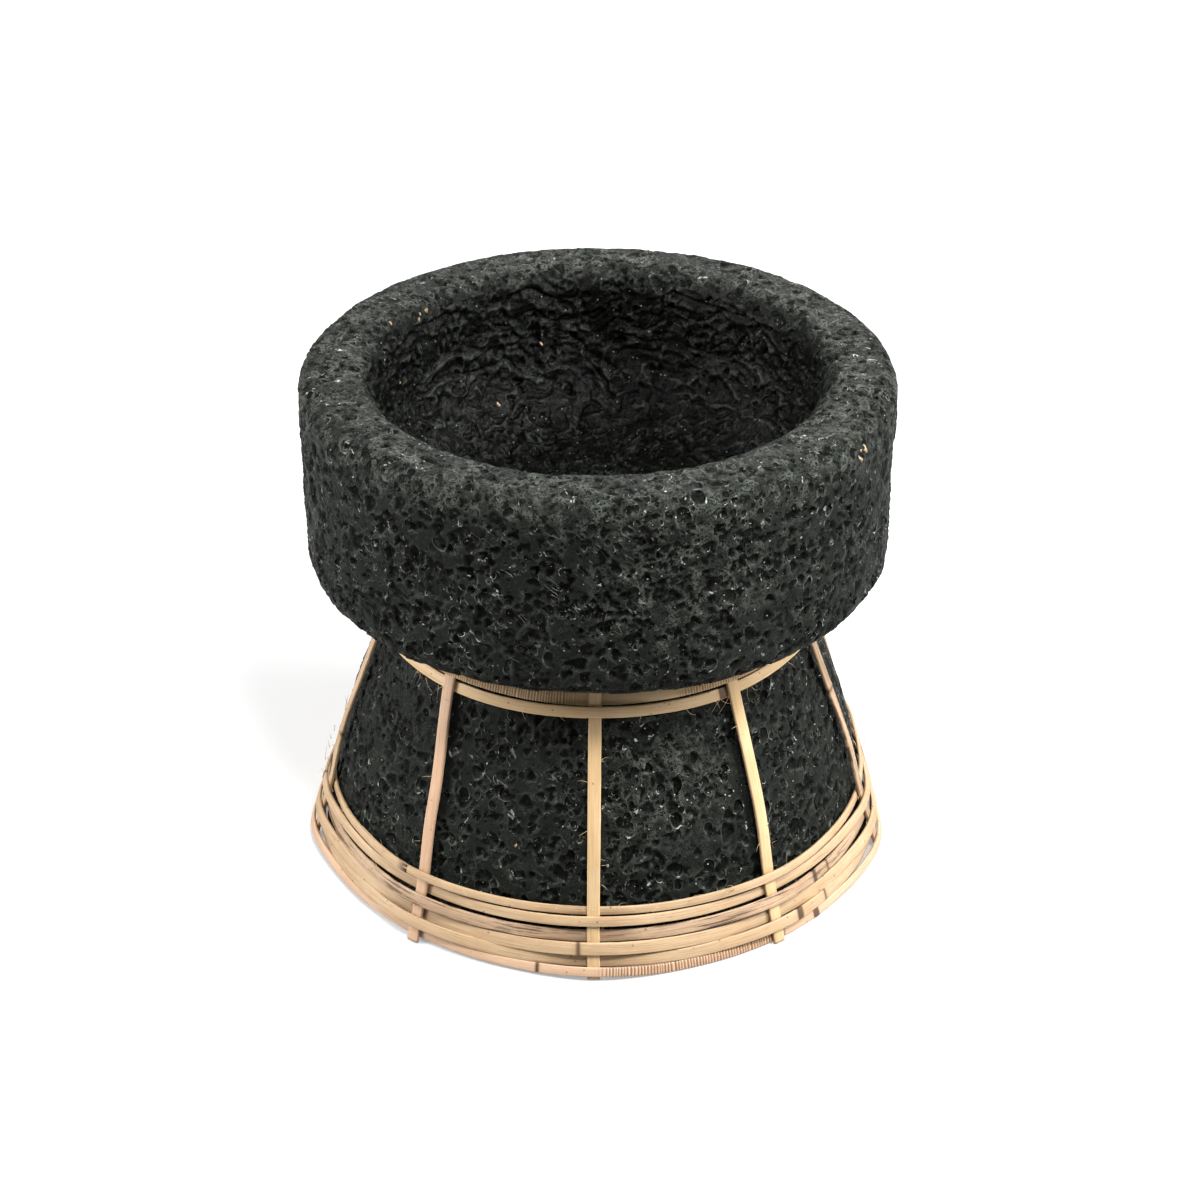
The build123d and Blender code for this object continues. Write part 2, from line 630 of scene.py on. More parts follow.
class GlintStreaks(SharedEffect):
    """Thin broken raised lines that slant down to the right, painted bright as glints: a painted highlight.
    """

    title = "scratches"
    takes = {
        "Place": ("NodeSocketVector", None),
        "Line Scale": ("NodeSocketFloat", 300.0),
        "Line Width": ("NodeSocketFloat", 0.04),
    }
    gives = {"Line": "NodeSocketFloat"}

    @classmethod
    def build(cls, sheet: Sheet, given: Sockets) -> dict[str, Socket]:
        """Follow the middle level of a noise that is stretched along the slant.

        Args:
            sheet: the group's sheet.
            given: the sockets of the group's inputs, by name.

        Returns:
            The socket that feeds each output, by name.
        """
        axes = sheet.add("SeparateXYZ", {0: given["Place"]}).outputs
        slant = sheet.maths("MULTIPLY", sheet.maths("SUBTRACT", axes[0], axes[2]), 0.13)
        square = sheet.maths("ADD", axes[0], axes[2])
        turned = sheet.add("CombineXYZ", {0: slant, 1: axes[1], 2: square}).outputs[0]
        cloud = sheet.noise(turned, given["Line Scale"], 1.0)
        away = sheet.maths("ABSOLUTE", sheet.maths("SUBTRACT", cloud, 0.5))
        ratio = sheet.maths("DIVIDE", away, given["Line Width"])
        kept = sheet.remap(sheet.noise(given["Place"], 170.0, 1.0), 0.57, 0.64)
        return {"Line": sheet.maths("MULTIPLY", kept, sheet.remap(ratio, 0.3, 1.0, 1.0, 0.0))}


def new_finish(name: str) -> tuple[bpy.types.Material, Sheet, bpy.types.Node]:
    """Start a material.

    Args:
        name: its name.

    Returns:
        The material, its sheet, and its shader.
    """
    material = bpy.data.materials.new(name)
    material.use_nodes = True
    return material, Sheet(material.node_tree), material.node_tree.nodes["Principled BSDF"]


@dataclass(frozen=True)
class StoneFinish:
    """Dark volcanic stone: painted shade in its hollows and bowl, crests paler by wear and painted sheen,
    painted glints, pale flecks.
    """

    name: str = "charcoal_stone"
    fresh: Colour = (0.0106, 0.0122, 0.0101)
    drifted: Colour = (0.0152, 0.0174, 0.0145)
    wear_and_sheen: Colour = (0.105, 0.114, 0.099)
    dusty: Colour = (0.0172, 0.0196, 0.0163)
    hollow_shade: Colour = (0.0008, 0.0009, 0.0007)
    bowl_shade: Colour = (0.0015, 0.0018, 0.0013)
    fleck: Colour = (0.5, 0.31, 0.16)
    glint: Colour = (0.4, 0.41, 0.37)
    roughness: float = 0.46
    specular: float = 0.12
    bump_height: float = 0.001
    drift_scale: float = 40.0
    patchy_scale: float = 190.0
    broken_scale: float = 330.0
    wear_scale: float = 700.0
    grit_scale: float = 1500.0
    busy_scale: float = 36.0
    spark_cells: float = 640.0
    fleck_cells: float = 160.0
    broad_pores: Pattern = (180.0, 0.46, 0.3)
    wide_pores: Pattern = (310.0, 0.5, 0.5)
    fine_pores: Pattern = (560.0, 0.48, 0.42)
    tracks: tuple[float, float] = (360.0, 0.06)
    threads: tuple[float, float] = (760.0, 0.09)
    glint_streak_pattern: tuple[float, float] = (210.0, 0.016)
    squash: Colour = (1.0, 1.0, 0.78)
    bowl_shade_share: float = 0.95
    rim_share: float = 0.7
    crest_wear_and_sheen: float = 0.26
    bowl_crest_sheen: float = 0.24
    shade_share: float = 0.9
    scratch_share: float = 0.75
    lip_height: float = 0.26
    grit_height: float = 0.24
    scratch_height: float = 0.3

    def colour(self, sheet: Sheet, marks: dict[str, Socket]) -> Socket:
        """Build up the stone's colour from its marks.

        Args:
            sheet: the material's sheet.
            marks: the sockets of the place, and of each mark on the stone, by name.

        Returns:
            The colour's socket.
        """
        place = marks["place"]
        tone = ToneDrift.place(
            sheet,
            Place=place,
            Colour=self.fresh,
            Other_Colour=self.drifted,
            Patch_Scale=self.drift_scale,
            Strength=0.9,
        )
        rim = sheet.maths("MULTIPLY", marks["rim"], self.rim_share)
        colour = sheet.blend(rim, tone.outputs["Colour"], self.dusty)
        patchy = sheet.remap(sheet.noise(place, self.patchy_scale, 3.0), 0.42, 0.6, 0.22, 1.0)
        # Painted shade: the inside of the bowl is painted nearly black, standing in for the shade inside it.
        bowl = sheet.maths("MULTIPLY", marks["bowl"], self.bowl_shade_share)
        colour = sheet.blend(bowl, colour, self.bowl_shade)
        # Crests paler by wear and a painted sheen, more sheen inside the bowl; the pores' lower lips get the
        # same colour as a painted highlight.
        proud = sheet.maths("MULTIPLY_ADD", marks["bowl"], -0.28, marks["crest"])
        raised = sheet.maths("MULTIPLY", sheet.remap(proud, 0.25, 1.0), patchy)
        wear_and_sheen_share = sheet.maths("MULTIPLY_ADD", marks["bowl"], self.bowl_crest_sheen, self.crest_wear_and_sheen)
        colour = sheet.blend(sheet.maths("MULTIPLY", raised, wear_and_sheen_share), colour, self.wear_and_sheen)
        colour = sheet.blend(sheet.maths("MULTIPLY", marks["lip"], patchy), colour, self.wear_and_sheen)
        # Painted shade: the hollows, and the upper walls of the pores, are darkened towards near black where
        # shade would fall.
        sunk = sheet.remap(marks["crest"], -0.25, -0.95, 0.0, 0.75)
        colour = sheet.blend(sunk, colour, self.hollow_shade)
        colour = sheet.blend(sheet.maths("MULTIPLY", marks["shade"], self.shade_share), colour, self.hollow_shade)
        # Painted highlights: glints on the pores' lips and the slanting streaks, and scattered sparks, fewer
        # inside the bowl.
        open_air = sheet.remap(marks["bowl"], 0.0, 1.0, 1.0, 0.6)
        broken = sheet.remap(sheet.noise(place, self.broken_scale, 2.0), 0.61, 0.66)
        scratch = sheet.maths("MULTIPLY", marks["scratch"], self.scratch_share)
        bright = sheet.maths("MAXIMUM", sheet.maths("MULTIPLY", marks["arc"], broken), scratch)
        colour = sheet.blend(sheet.maths("MULTIPLY", bright, open_air), colour, self.glint)
        crowd = sheet.maths("MAXIMUM", marks["speckle"], sheet.maths("MULTIPLY", marks["bowl"], 0.6))
        share = sheet.maths("MULTIPLY_ADD", crowd, 0.09, 0.008)
        sparks = Flecks.place(sheet, Place=place, Cell_Scale=self.spark_cells, Share=share, Spot_Size=0.24)
        colour = sheet.blend(sheet.maths("MULTIPLY", sparks.outputs["Spots"], open_air), colour, self.glint)
        spots = Flecks.place(sheet, Place=place, Cell_Scale=self.fleck_cells, Share=0.012, Spot_Size=0.09)
        return sheet.blend(spots.outputs["Spots"], colour, self.fleck)

    def relief(self, sheet: Sheet, marks: dict[str, Socket]) -> Socket:
        """Lay out the fine marks on the stone and their height.

        Args:
            sheet: the material's sheet.
            marks: the sockets of the place and the zones, to which it adds each fine mark.

        Returns:
            The height's socket.
        """
        place = marks["place"]
        squashed = sheet.stretch(place, self.squash)
        busy = sheet.remap(sheet.noise(place, self.busy_scale, 2.0), 0.36, 0.52, 0.3, 1.0)
        outside = sheet.remap(marks["bowl"], 0.0, 1.0, 1.0, 0.12)
        busy = sheet.maths("MULTIPLY", busy, outside)
        broad, wide, fine = (
            Pores.place(sheet, Place=squashed, Cell_Scale=scale, Reach=reach, Share=share).outputs
            for scale, reach, share in (self.broad_pores, self.wide_pores, self.fine_pores)
        )
        joined = {}
        for name in ("Hollow", "Shade", "LitLip"):
            small = sheet.maths("MULTIPLY", sheet.maths("MAXIMUM", wide[name], fine[name]), busy)
            joined[name] = sheet.maths("MAXIMUM", small, sheet.maths("MULTIPLY", broad[name], outside))
        tracks, threads = (
            Squiggles.place(sheet, Place=place, Track_Scale=scale, Track_Width=width).outputs[0]
            for scale, width in (self.tracks, self.threads)
        )
        crowd = sheet.maths("MAXIMUM", marks["rim"], marks["speckle"])
        tracks = sheet.maths("MULTIPLY", tracks, sheet.remap(crowd, 0.0, 1.0, 0.1, 0.75))
        threads = sheet.maths("MULTIPLY", threads, sheet.remap(crowd, 0.0, 1.0, 0.16, 0.7))
        scale, width = self.glint_streak_pattern
        # The slanting streaks: raised a little here, and painted as glints in the colour.
        scratch = GlintStreaks.place(sheet, Place=place, Line_Scale=scale, Line_Width=width).outputs[0]
        marks["scratch"] = sheet.maths("MULTIPLY", scratch, marks["slant"])
        marks["shade"] = joined["Shade"]
        # arc carries the pores' lower lips, a painted highlight; lip also holds the worm tracks, which are
        # raised and worn paler.
        marks["arc"] = joined["LitLip"]
        marks["lip"] = sheet.maths("MAXIMUM", joined["LitLip"], sheet.maths("MAXIMUM", tracks, threads))
        grit = sheet.noise(place, self.grit_scale, 3.0, Roughness=0.7)
        raised = sheet.maths("MULTIPLY", grit, self.grit_height)
        raised = sheet.maths("MULTIPLY_ADD", marks["lip"], self.lip_height, raised)
        raised = sheet.maths("MULTIPLY_ADD", marks["scratch"], self.scratch_height, raised)
        still = sheet.remap(marks["rim"], 0.0, 1.0, 0.9, 0.55)
        return sheet.maths("SUBTRACT", raised, sheet.maths("MULTIPLY", joined["Hollow"], still))

    def material(self) -> bpy.types.Material:
        """Make the stone's material.

        Returns:
            The material.
        """
        material, sheet, shader = new_finish(self.name)
        shader.inputs["Specular IOR Level"].default_value = self.specular
        marks = {"place": sheet.add("TexCoord").outputs["Object"]}
        for name in ("crest", "bowl", "rim", "slant", "speckle"):
            marks[name] = sheet.add("Attribute", attribute_name=name).outputs["Fac"]
        height = self.relief(sheet, marks)
        bump = sheet.add("Bump", {"Height": height, "Distance": self.bump_height, "Strength": 1.0})
        wear = sheet.noise(marks["place"], self.wear_scale, 2.0)
        rough = sheet.remap(wear, 0.3, 0.7, self.roughness - 0.1, self.roughness + 0.2)
        rough = sheet.maths("MULTIPLY_ADD", marks["lip"], -0.22, rough)
        rough = sheet.maths("MULTIPLY", rough, sheet.remap(marks["bowl"], 0.0, 1.0, 1.0, 0.6))
        sheet.tree.links.new(self.colour(sheet, marks), shader.inputs["Base Color"])
        sheet.tree.links.new(rough, shader.inputs["Roughness"])
        sheet.tree.links.new(bump.outputs[0], shader.inputs["Normal"])
        return material


@dataclass(frozen=True)
class GrainFinish:
    """The pale grains that are bedded in the stone."""

    name: str = "cream_grain"
    cream: Colour = (0.46, 0.37, 0.26)
    rust: Colour = (0.22, 0.13, 0.06)
    roughness: float = 0.6

    def material(self) -> bpy.types.Material:
        """Make the grains' material.

        Returns:
            The material.
        """
        material, sheet, shader = new_finish(self.name)
        place = sheet.add("TexCoord").outputs["Object"]
        tone = ToneDrift.place(
            sheet, Place=place, Colour=self.cream, Other_Colour=self.rust, Patch_Scale=420.0, Strength=0.9
        )
        sheet.tree.links.new(tone.outputs["Colour"], shader.inputs["Base Color"])
        shader.inputs["Roughness"].default_value = self.roughness
        return material


class ReedGrain(SharedEffect):
    """The skin of split rattan: fine lines along the reed and broken streaks."""

    title = "reed_grain"
    takes = {
        "Reed": ("NodeSocketVector", None),
        "Streaks": ("NodeSocketFloat", 0.5),
    }
    gives = {
        "Lines": "NodeSocketFloat",
        "Streak": "NodeSocketFloat",
        "Height": "NodeSocketFloat",
    }

    @classmethod
    def build(cls, sheet: Sheet, given: Sockets) -> dict[str, Socket]:
        """Stretch noise along the reed, at three widths.

        Args:
            sheet: the group's sheet.
            given: the sockets of the group's inputs, by name.

        Returns:
            The socket that feeds each output, by name.
        """
        reed = given["Reed"]
        lines = sheet.noise(sheet.stretch(reed, (45.0, 2300.0, 1.0)), 1.0, 3.0, Roughness=0.65)
        broad = sheet.noise(sheet.stretch(reed, (38.0, 800.0, 1.0)), 1.0, 5.0, Roughness=0.72)
        threshold = sheet.remap(given["Streaks"], 0.0, 1.0, 0.78, 0.5)
        above = sheet.maths("SUBTRACT", broad, threshold)
        streak = sheet.remap(above, 0.0, 0.08)
        fine = sheet.noise(sheet.stretch(reed, (420.0, 3800.0, 1.0)), 1.0, 2.0)
        height = sheet.maths("ADD", lines, sheet.maths("MULTIPLY", fine, 0.5))
        return {"Lines": lines, "Streak": streak, "Height": height}


@dataclass(frozen=True)
class ReedFinish:
    """Split rattan in one of its natural tones."""

    name: str
    skin: Colour
    drifted: Colour
    line: Colour
    stain: Colour
    streaks: float = 0.4
    roughness: float = 0.42
    bump_height: float = 0.00012
    scar: Colour = (0.09, 0.045, 0.02)
    tip: Colour = (0.05, 0.022, 0.012)

    def material(self) -> bpy.types.Material:
        """Make the reed's material.

        Returns:
            The material.
        """
        material, sheet, shader = new_finish(self.name)
        place = sheet.add("TexCoord").outputs["Object"]
        reed = sheet.add("Attribute", attribute_name="reed").outputs["Vector"]
        scar = sheet.add("Attribute", attribute_name="scar").outputs["Fac"]
        cut = sheet.add("Attribute", attribute_name="cut").outputs["Fac"]
        groove_shade = sheet.add("Attribute", attribute_name="groove_shade").outputs["Fac"]

        tone = ToneDrift.place(
            sheet, Place=place, Colour=self.skin, Other_Colour=self.drifted, Patch_Scale=42.0, Strength=0.85
        )
        grain = ReedGrain.place(sheet, Reed=reed, Streaks=self.streaks)
        lined = sheet.maths("MULTIPLY", sheet.remap(grain.outputs["Lines"], 0.42, 0.68), 0.6)
        colour = sheet.blend(lined, tone.outputs["Colour"], self.line)
        colour = sheet.blend(sheet.maths("MULTIPLY", grain.outputs["Streak"], 0.8), colour, self.stain)
        specks = Flecks.place(sheet, Place=place, Cell_Scale=620.0, Share=0.05, Spot_Size=0.3)
        colour = sheet.blend(sheet.maths("MULTIPLY", specks.outputs["Spots"], 0.75), colour, self.stain)
        # Painted shade: the furrows between the cross ridges are darkened with the stain colour.
        colour = sheet.blend(groove_shade, colour, self.stain)
        colour = sheet.blend(scar, colour, self.scar)
        colour = sheet.blend(cut, colour, self.tip)
        rough = sheet.remap(grain.outputs["Lines"], 0.3, 0.7, self.roughness - 0.08, self.roughness + 0.2)
        bump = sheet.add(
            "Bump", {"Height": grain.outputs["Height"], "Distance": self.bump_height, "Strength": 0.9}
        )
        sheet.tree.links.new(colour, shader.inputs["Base Color"])
        sheet.tree.links.new(rough, shader.inputs["Roughness"])
        sheet.tree.links.new(bump.outputs[0], shader.inputs["Normal"])
        return material


class ReedTone(Enum):
    """The tones of reed that the cage is made of."""

    STRAW = ReedFinish(
        "straw_reed", (0.58, 0.435, 0.27), (0.53, 0.38, 0.21), (0.42, 0.28, 0.145), (0.24, 0.14, 0.07)
    )
    BLUSH = ReedFinish(
        "blush_reed", (0.56, 0.41, 0.295), (0.5, 0.34, 0.23), (0.4, 0.26, 0.17), (0.22, 0.13, 0.075)
    )
    TAN = ReedFinish(
        "tan_reed", (0.5, 0.38, 0.25), (0.43, 0.305, 0.185), (0.32, 0.205, 0.12), (0.14, 0.08, 0.045), 0.55
    )
    SMOKED = ReedFinish(
        "smoked_reed", (0.48, 0.36, 0.25), (0.36, 0.25, 0.16), (0.25, 0.16, 0.1), (0.08, 0.047, 0.03), 0.85
    )


class ReedStore:
    """Hands out the reed materials, making each tone once."""

    def __init__(self) -> None:
        """Start with none made."""
        self.made: dict[ReedTone, bpy.types.Material] = {}

    def material(self, tone: ReedTone) -> bpy.types.Material:
        """Give a tone's material, making it on first use.

        Args:
            tone: the tone.

        Returns:
            The material.
        """
        if tone not in self.made:
            self.made[tone] = tone.value.material()
        return self.made[tone]


# ----------------------------------------------------------------------------------------------------
# Stone
# ----------------------------------------------------------------------------------------------------


@dataclass(frozen=True)
class PitFamily:
    """Pits of one kind: how many to a square centimetre, their radii, and how deep for their radius."""

    per_square_cm: float
    smallest: float
    largest: float
    depth_share: float
    flatness: float
    lip: float
    longest: float = 1.6


@dataclass(frozen=True)
class Pit:
    """One pit: where it is along the outline and round the stone, and its size, shape and depth."""

    along: float
    azimuth: float
    radius: float
    stretch: float
    lean: float
    depth: float
    flatness: float = 3.0
    lip: float = 0.22


@dataclass(frozen=True)
class Patch:
    """A part of the wall where one kind of mark is common, as a soft spot of the given spread."""

    mark: str
    azimuth: float
    height: float
    spread_around: float
    spread_up: float


@dataclass
class StoneBody:
    """Bowl, neck and foot, carved from one stone and roughly dressed. Millimetres."""

    node: str = "stone_body"
    slot: str = "stone"
    seed: int = 11
    columns: int = 1080
    spacing: float = 0.62
    coarse_spacing: float = 2.2
    dish_depth: float = 3.5
    ring_inner: float = 88.0
    foot: float = 108.3
    waist: tuple[float, float] = (97.8, 49.0)
    neck: tuple[float, float] = (75.5, 109.0)
    underside: tuple[float, float] = (109.0, 119.6)
    bowl: float = 110.0
    mouth: float = 83.0
    wall_foot: float = 78.0
    floor_depth: float = 61.0
    inset_on_foot: float = 0.35
    families: tuple[PitFamily, ...] = (
        PitFamily(0.2, 3.0, 5.5, 0.14, 8.0, 0.24, 1.5),
        PitFamily(1.1, 1.5, 2.6, 0.5, 4.0, 0.26, 1.8),
        PitFamily(2.6, 1.0, 1.8, 0.8, 3.0, 0.24, 1.6),
    )
    cluster_count: int = 60
    cluster_reach: tuple[float, float] = (3.5, 6.0)
    cluster_pits: tuple[int, int] = (6, 12)
    cluster_radius: tuple[float, float] = (0.8, 0.8)
    inside_edge: tuple[float, float] = (9.0, 24.0)
    rim_outer_edge: tuple[float, float] = (-24.0, -12.0)
    rim_inner_edge: tuple[float, float] = (22.0, 12.0)
    cage_edge: tuple[float, float] = (118.0, 110.0)
    lumps: tuple[tuple[float, float], ...] = ((0.62, 30.0), (0.34, 11.0), (0.12, 5.5))
    roughs: tuple[tuple[float, float], ...] = ((0.07, 2.9), (0.06, 1.5))
    ledge_height: float = 0.3
    worm_height: float = 0.16
    crease_depth: float = 0.8
    fold_depth: float = 0.35
    bowl_lumps: tuple[tuple[float, float], ...] = ((0.7, 7.5), (0.4, 3.6), (0.12, 1.8))
    swirl_height: float = 0.8
    swirl_pitch: float = 8.5
    swirl_reach: float = 11.0
    # The slant patches hold the painted glint streaks; the speckle patches hold dense painted glint sparks
    # and worm tracks.
    patches: tuple[Patch, ...] = (
        Patch("slant", 342.0, 158.0, 19.0, 17.0),
        Patch("slant", 338.0, 62.0, 9.0, 14.0),
        Patch("slant", 150.0, 150.0, 20.0, 16.0),
        Patch("speckle", 16.0, 165.0, 14.0, 20.0),
        Patch("speckle", 14.0, 72.0, 12.0, 18.0),
        Patch("speckle", 210.0, 150.0, 18.0, 20.0),
    )
    swirl_middle: tuple[float, float, float] = (-39.0, 69.0, 146.0)
    grain_sink: float = 0.35
    grains: tuple[tuple[float, float, float, float], ...] = (
        (-41.0, 67.0, 145.0, 1.0),
        (-66.5, 45.5, 195.0, 0.65),
        (-64.5, 47.5, 195.0, 0.45),
        (-62.5, 52.0, 195.0, 0.9),
        (-77.0, 36.0, 196.0, 0.6),
        (-57.0, -57.0, 192.0, 0.6),
        (95.0, -56.0, 190.0, 1.1),
        (93.5, -58.5, 190.5, 0.6),
        (93.0, -60.0, 188.0, 0.8),
        (-30.0, -93.5, 46.5, 0.5),
        (-22.0, 76.0, 168.0, 0.55),
        (60.0, 92.0, 170.0, 0.6),
    )

    def __post_init__(self) -> None:
        """Take the height from the frame and lay out the grid of points."""
        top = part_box(self.node)[1].z / MM
        floor = top - self.floor_depth
        corners = (
            (0.0, self.dish_depth),
            (self.ring_inner - 20, self.dish_depth),
            (self.ring_inner, 0.0),
            (self.foot, 0.0),
            self.waist,
            self.neck,
            self.underside,
            (self.bowl, top),
            (self.mouth, top),
            (self.wall_foot, floor),
            (0.0, floor),
        )
        outline = Outline(corners, (20, 3, 3, 150, 3.5, 12, 8, 9.5, 40)).bends()
        along = lengths_along(outline)
        fine = np.linspace(0, along[-1], 6000)
        places = read_line(outline, along, fine)
        hidden = ease_step(self.ring_inner + 4, self.ring_inner - 10, places[:, 0]) * (places[:, 1] < 10)
        middle = ease_step(26, 8, places[:, 0]) * np.where(places[:, 1] < 10, 1.0, 0.2)
        step = self.spacing + (self.coarse_spacing - self.spacing) * np.maximum(hidden, middle)
        effort = np.concatenate([[0], np.cumsum(np.diff(fine) / step[1:])])
        rows = int(effort[-1])
        self.along = np.interp(np.linspace(0, effort[-1], rows + 1)[1:-1], effort, fine)
        self.rows = read_line(outline, along, self.along)
        ahead = read_line(outline, along, self.along + 0.3) - read_line(outline, along, self.along - 0.3)
        ahead = unit(ahead)
        self.normals = np.stack([ahead[:, 1], -ahead[:, 0]], -1)
        self.azimuth = np.arange(self.columns) / self.columns * TURN
        crest_row = int(np.argmax(self.rows[:, 1]))
        self.crest_along = float(self.along[crest_row])
        self.poles = np.array([[0.0, 0.0, self.dish_depth], [0.0, 0.0, floor]])
        self.surface = around_axis(self.rows[:, :1], self.azimuth[None, :], self.rows[:, 1:2])

    def zones(self) -> dict[str, np.ndarray]:
        """Say how far each row belongs to each zone of the stone.

        Returns:
            A column of shares from 0 to 1 for inside, rim, cage and under.
        """
        beyond = (self.along - self.crest_along)[:, None]
        radius, height = self.rows[:, :1], self.rows[:, 1:2]
        inside = ease_step(*self.inside_edge, beyond)
        rim = ease_step(*self.rim_outer_edge, beyond) * ease_step(*self.rim_inner_edge, beyond)
        below_bowl = beyond < -100
        cage = ease_step(*self.cage_edge, height) * below_bowl
        under = ease_step(3.0, 0.6, height) * (radius > 30) + (radius <= self.ring_inner) * (height < 8)
        return {"inside": inside, "rim": rim, "cage": cage, "under": np.clip(under, 0, 1)}

    def stamp(self, depths: np.ndarray, lips: np.ndarray, pit: Pit) -> None:
        """Sink one pit into the height field.

        Args:
            depths: the depth so far, which it changes.
            lips: the height of the pits' raised lips so far, which it changes.
            pit: the pit.
        """
        reach = pit.radius * pit.stretch * 1.5
        low, high = np.searchsorted(self.along, [pit.along - reach, pit.along + reach])
        if high <= low:
            return
        row = min(max(int(np.searchsorted(self.along, pit.along)), 0), len(self.along) - 1)
        near = max(self.rows[row, 0], 4.0)
        span = min(int(math.ceil(reach / near / TURN * self.columns)), self.columns // 2 - 1)
        middle = int(pit.azimuth / TURN * self.columns)
        columns = np.arange(middle - span, middle + span + 1)
        turn = columns / self.columns * TURN - pit.azimuth
        columns %= self.columns
        down = (self.along[low:high] - pit.along)[:, None]
        side = turn[None, :] * self.rows[low:high, :1]
        cos, sin = math.cos(pit.lean), math.sin(pit.lean)
        long_way = (down * cos + side * sin) / pit.stretch
        short_way = side * cos - down * sin
        ring = np.sqrt(long_way**2 + short_way**2) / pit.radius
        wobble = 1 + 0.16 * np.sin(3 * np.arctan2(short_way, long_way) + pit.lean * 5)
        ring = ring * wobble
        hollow = -pit.depth * np.clip(1 - ring ** pit.flatness, 0, 1) ** 0.55
        window = np.ix_(np.arange(low, high), columns)
        depths[window] = np.minimum(depths[window], hollow)
        lips[window] = np.maximum(lips[window], pit.lip * bell(ring, 1.12, 0.13))

    def pits(self) -> tuple[np.ndarray, np.ndarray]:
        """Scatter all the pits.

        Returns:
            The pits' depths, below 0, and their lips' heights, above 0, on the grid.
        """
        random = np.random.default_rng(self.seed)
        depths = np.zeros(self.surface.shape[:2])
        lips = np.zeros_like(depths)
        girth = self.rows[:, 0] * np.gradient(self.along)
        chance = np.cumsum(girth) / girth.sum()
        area = girth.sum() * TURN / 100

        for family in self.families:
            for _ in range(int(family.per_square_cm * area)):
                along = float(np.interp(random.random(), chance, self.along))
                azimuth = random.random() * TURN
                radius = family.smallest + (family.largest - family.smallest) * random.random() ** 2
                pit = Pit(
                    along,
                    azimuth,
                    radius,
                    stretch=1 + (family.longest - 1) * random.random(),
                    lean=random.random() * math.pi,
                    depth=radius * family.depth_share * (0.6 + 0.8 * random.random()),
                    flatness=family.flatness,
                    lip=family.lip * (0.4 + random.random()),
                )
                self.stamp(depths, lips, pit)
        for _ in range(self.cluster_count):
            along = float(np.interp(random.random(), chance, self.along))
            azimuth = random.random() * TURN
            reach = self.cluster_reach[0] + self.cluster_reach[1] * random.random()
            near = max(float(np.interp(along, self.along, self.rows[:, 0])), 20.0)
            for _ in range(self.cluster_pits[0] + int(random.random() * self.cluster_pits[1])):
                turn, away = random.random() * TURN, reach * math.sqrt(random.random())
                radius = self.cluster_radius[0] + self.cluster_radius[1] * random.random() ** 2
                pit = Pit(
                    along + away * math.cos(turn),
                    (azimuth + away * math.sin(turn) / near) % TURN,
                    radius,
                    stretch=1 + 0.35 * random.random(),
                    lean=random.random() * math.pi,
                    depth=radius * (0.9 + 0.5 * random.random()),
                )
                self.stamp(depths, lips, pit)
        return depths, lips

    def spots(self, mark: str) -> np.ndarray:
        """Say where one kind of mark is common.

        Args:
            mark: the kind of mark.

        Returns:
            Its share of full strength, from 0 to 1, on the grid.
        """
        common = np.zeros(self.surface.shape[:2])
        turn = np.degrees(self.azimuth)[None, :]
        for patch in self.patches:
            if patch.mark == mark:
                around = bell(turned_from(turn, patch.azimuth), 0, patch.spread_around)
                common = common + around * bell(self.rows[:, 1:2], patch.height, patch.spread_up)
        beyond = (self.along - self.crest_along)[:, None]
        return np.clip(common, 0, 1) * (beyond < 0)

    def bowl_folds(self) -> np.ndarray:
        """Work out the lumps, creases and swirl inside the bowl.

        Returns:
            Their height on the grid.
        """
        noise = LatticeNoise(self.seed + 2)
        other = LatticeNoise(self.seed + 3)
        spot = self.surface
        warp = np.stack([other.at(spot + shift, 11) for shift in (200, 300, 400)], -1)
        bent = (spot + 4.5 * warp) * np.array([0.8, 0.8, 1.8])
        creases = -self.crease_depth * ease_step(0.16, 0.0, np.abs(noise.layers(bent + 10, 11, 2)))
        folds = -self.fold_depth * ease_step(0.22, 0.0, np.abs(other.layers(bent, 6.4, 2)))
        (wide, wide_size), (middling, middling_size), (fine, fine_size) = self.bowl_lumps
        lumps = wide * noise.at(bent + 90, wide_size) + middling * other.at(bent + 40, middling_size)
        lumps = lumps + fine * noise.at(bent, fine_size)
        away = np.linalg.norm(spot + 4 * warp - np.array(self.swirl_middle), axis=-1)
        swirl = self.swirl_height * np.cos(TURN * away / self.swirl_pitch) * bell(away, 0, self.swirl_reach)
        return creases + folds + lumps + swirl

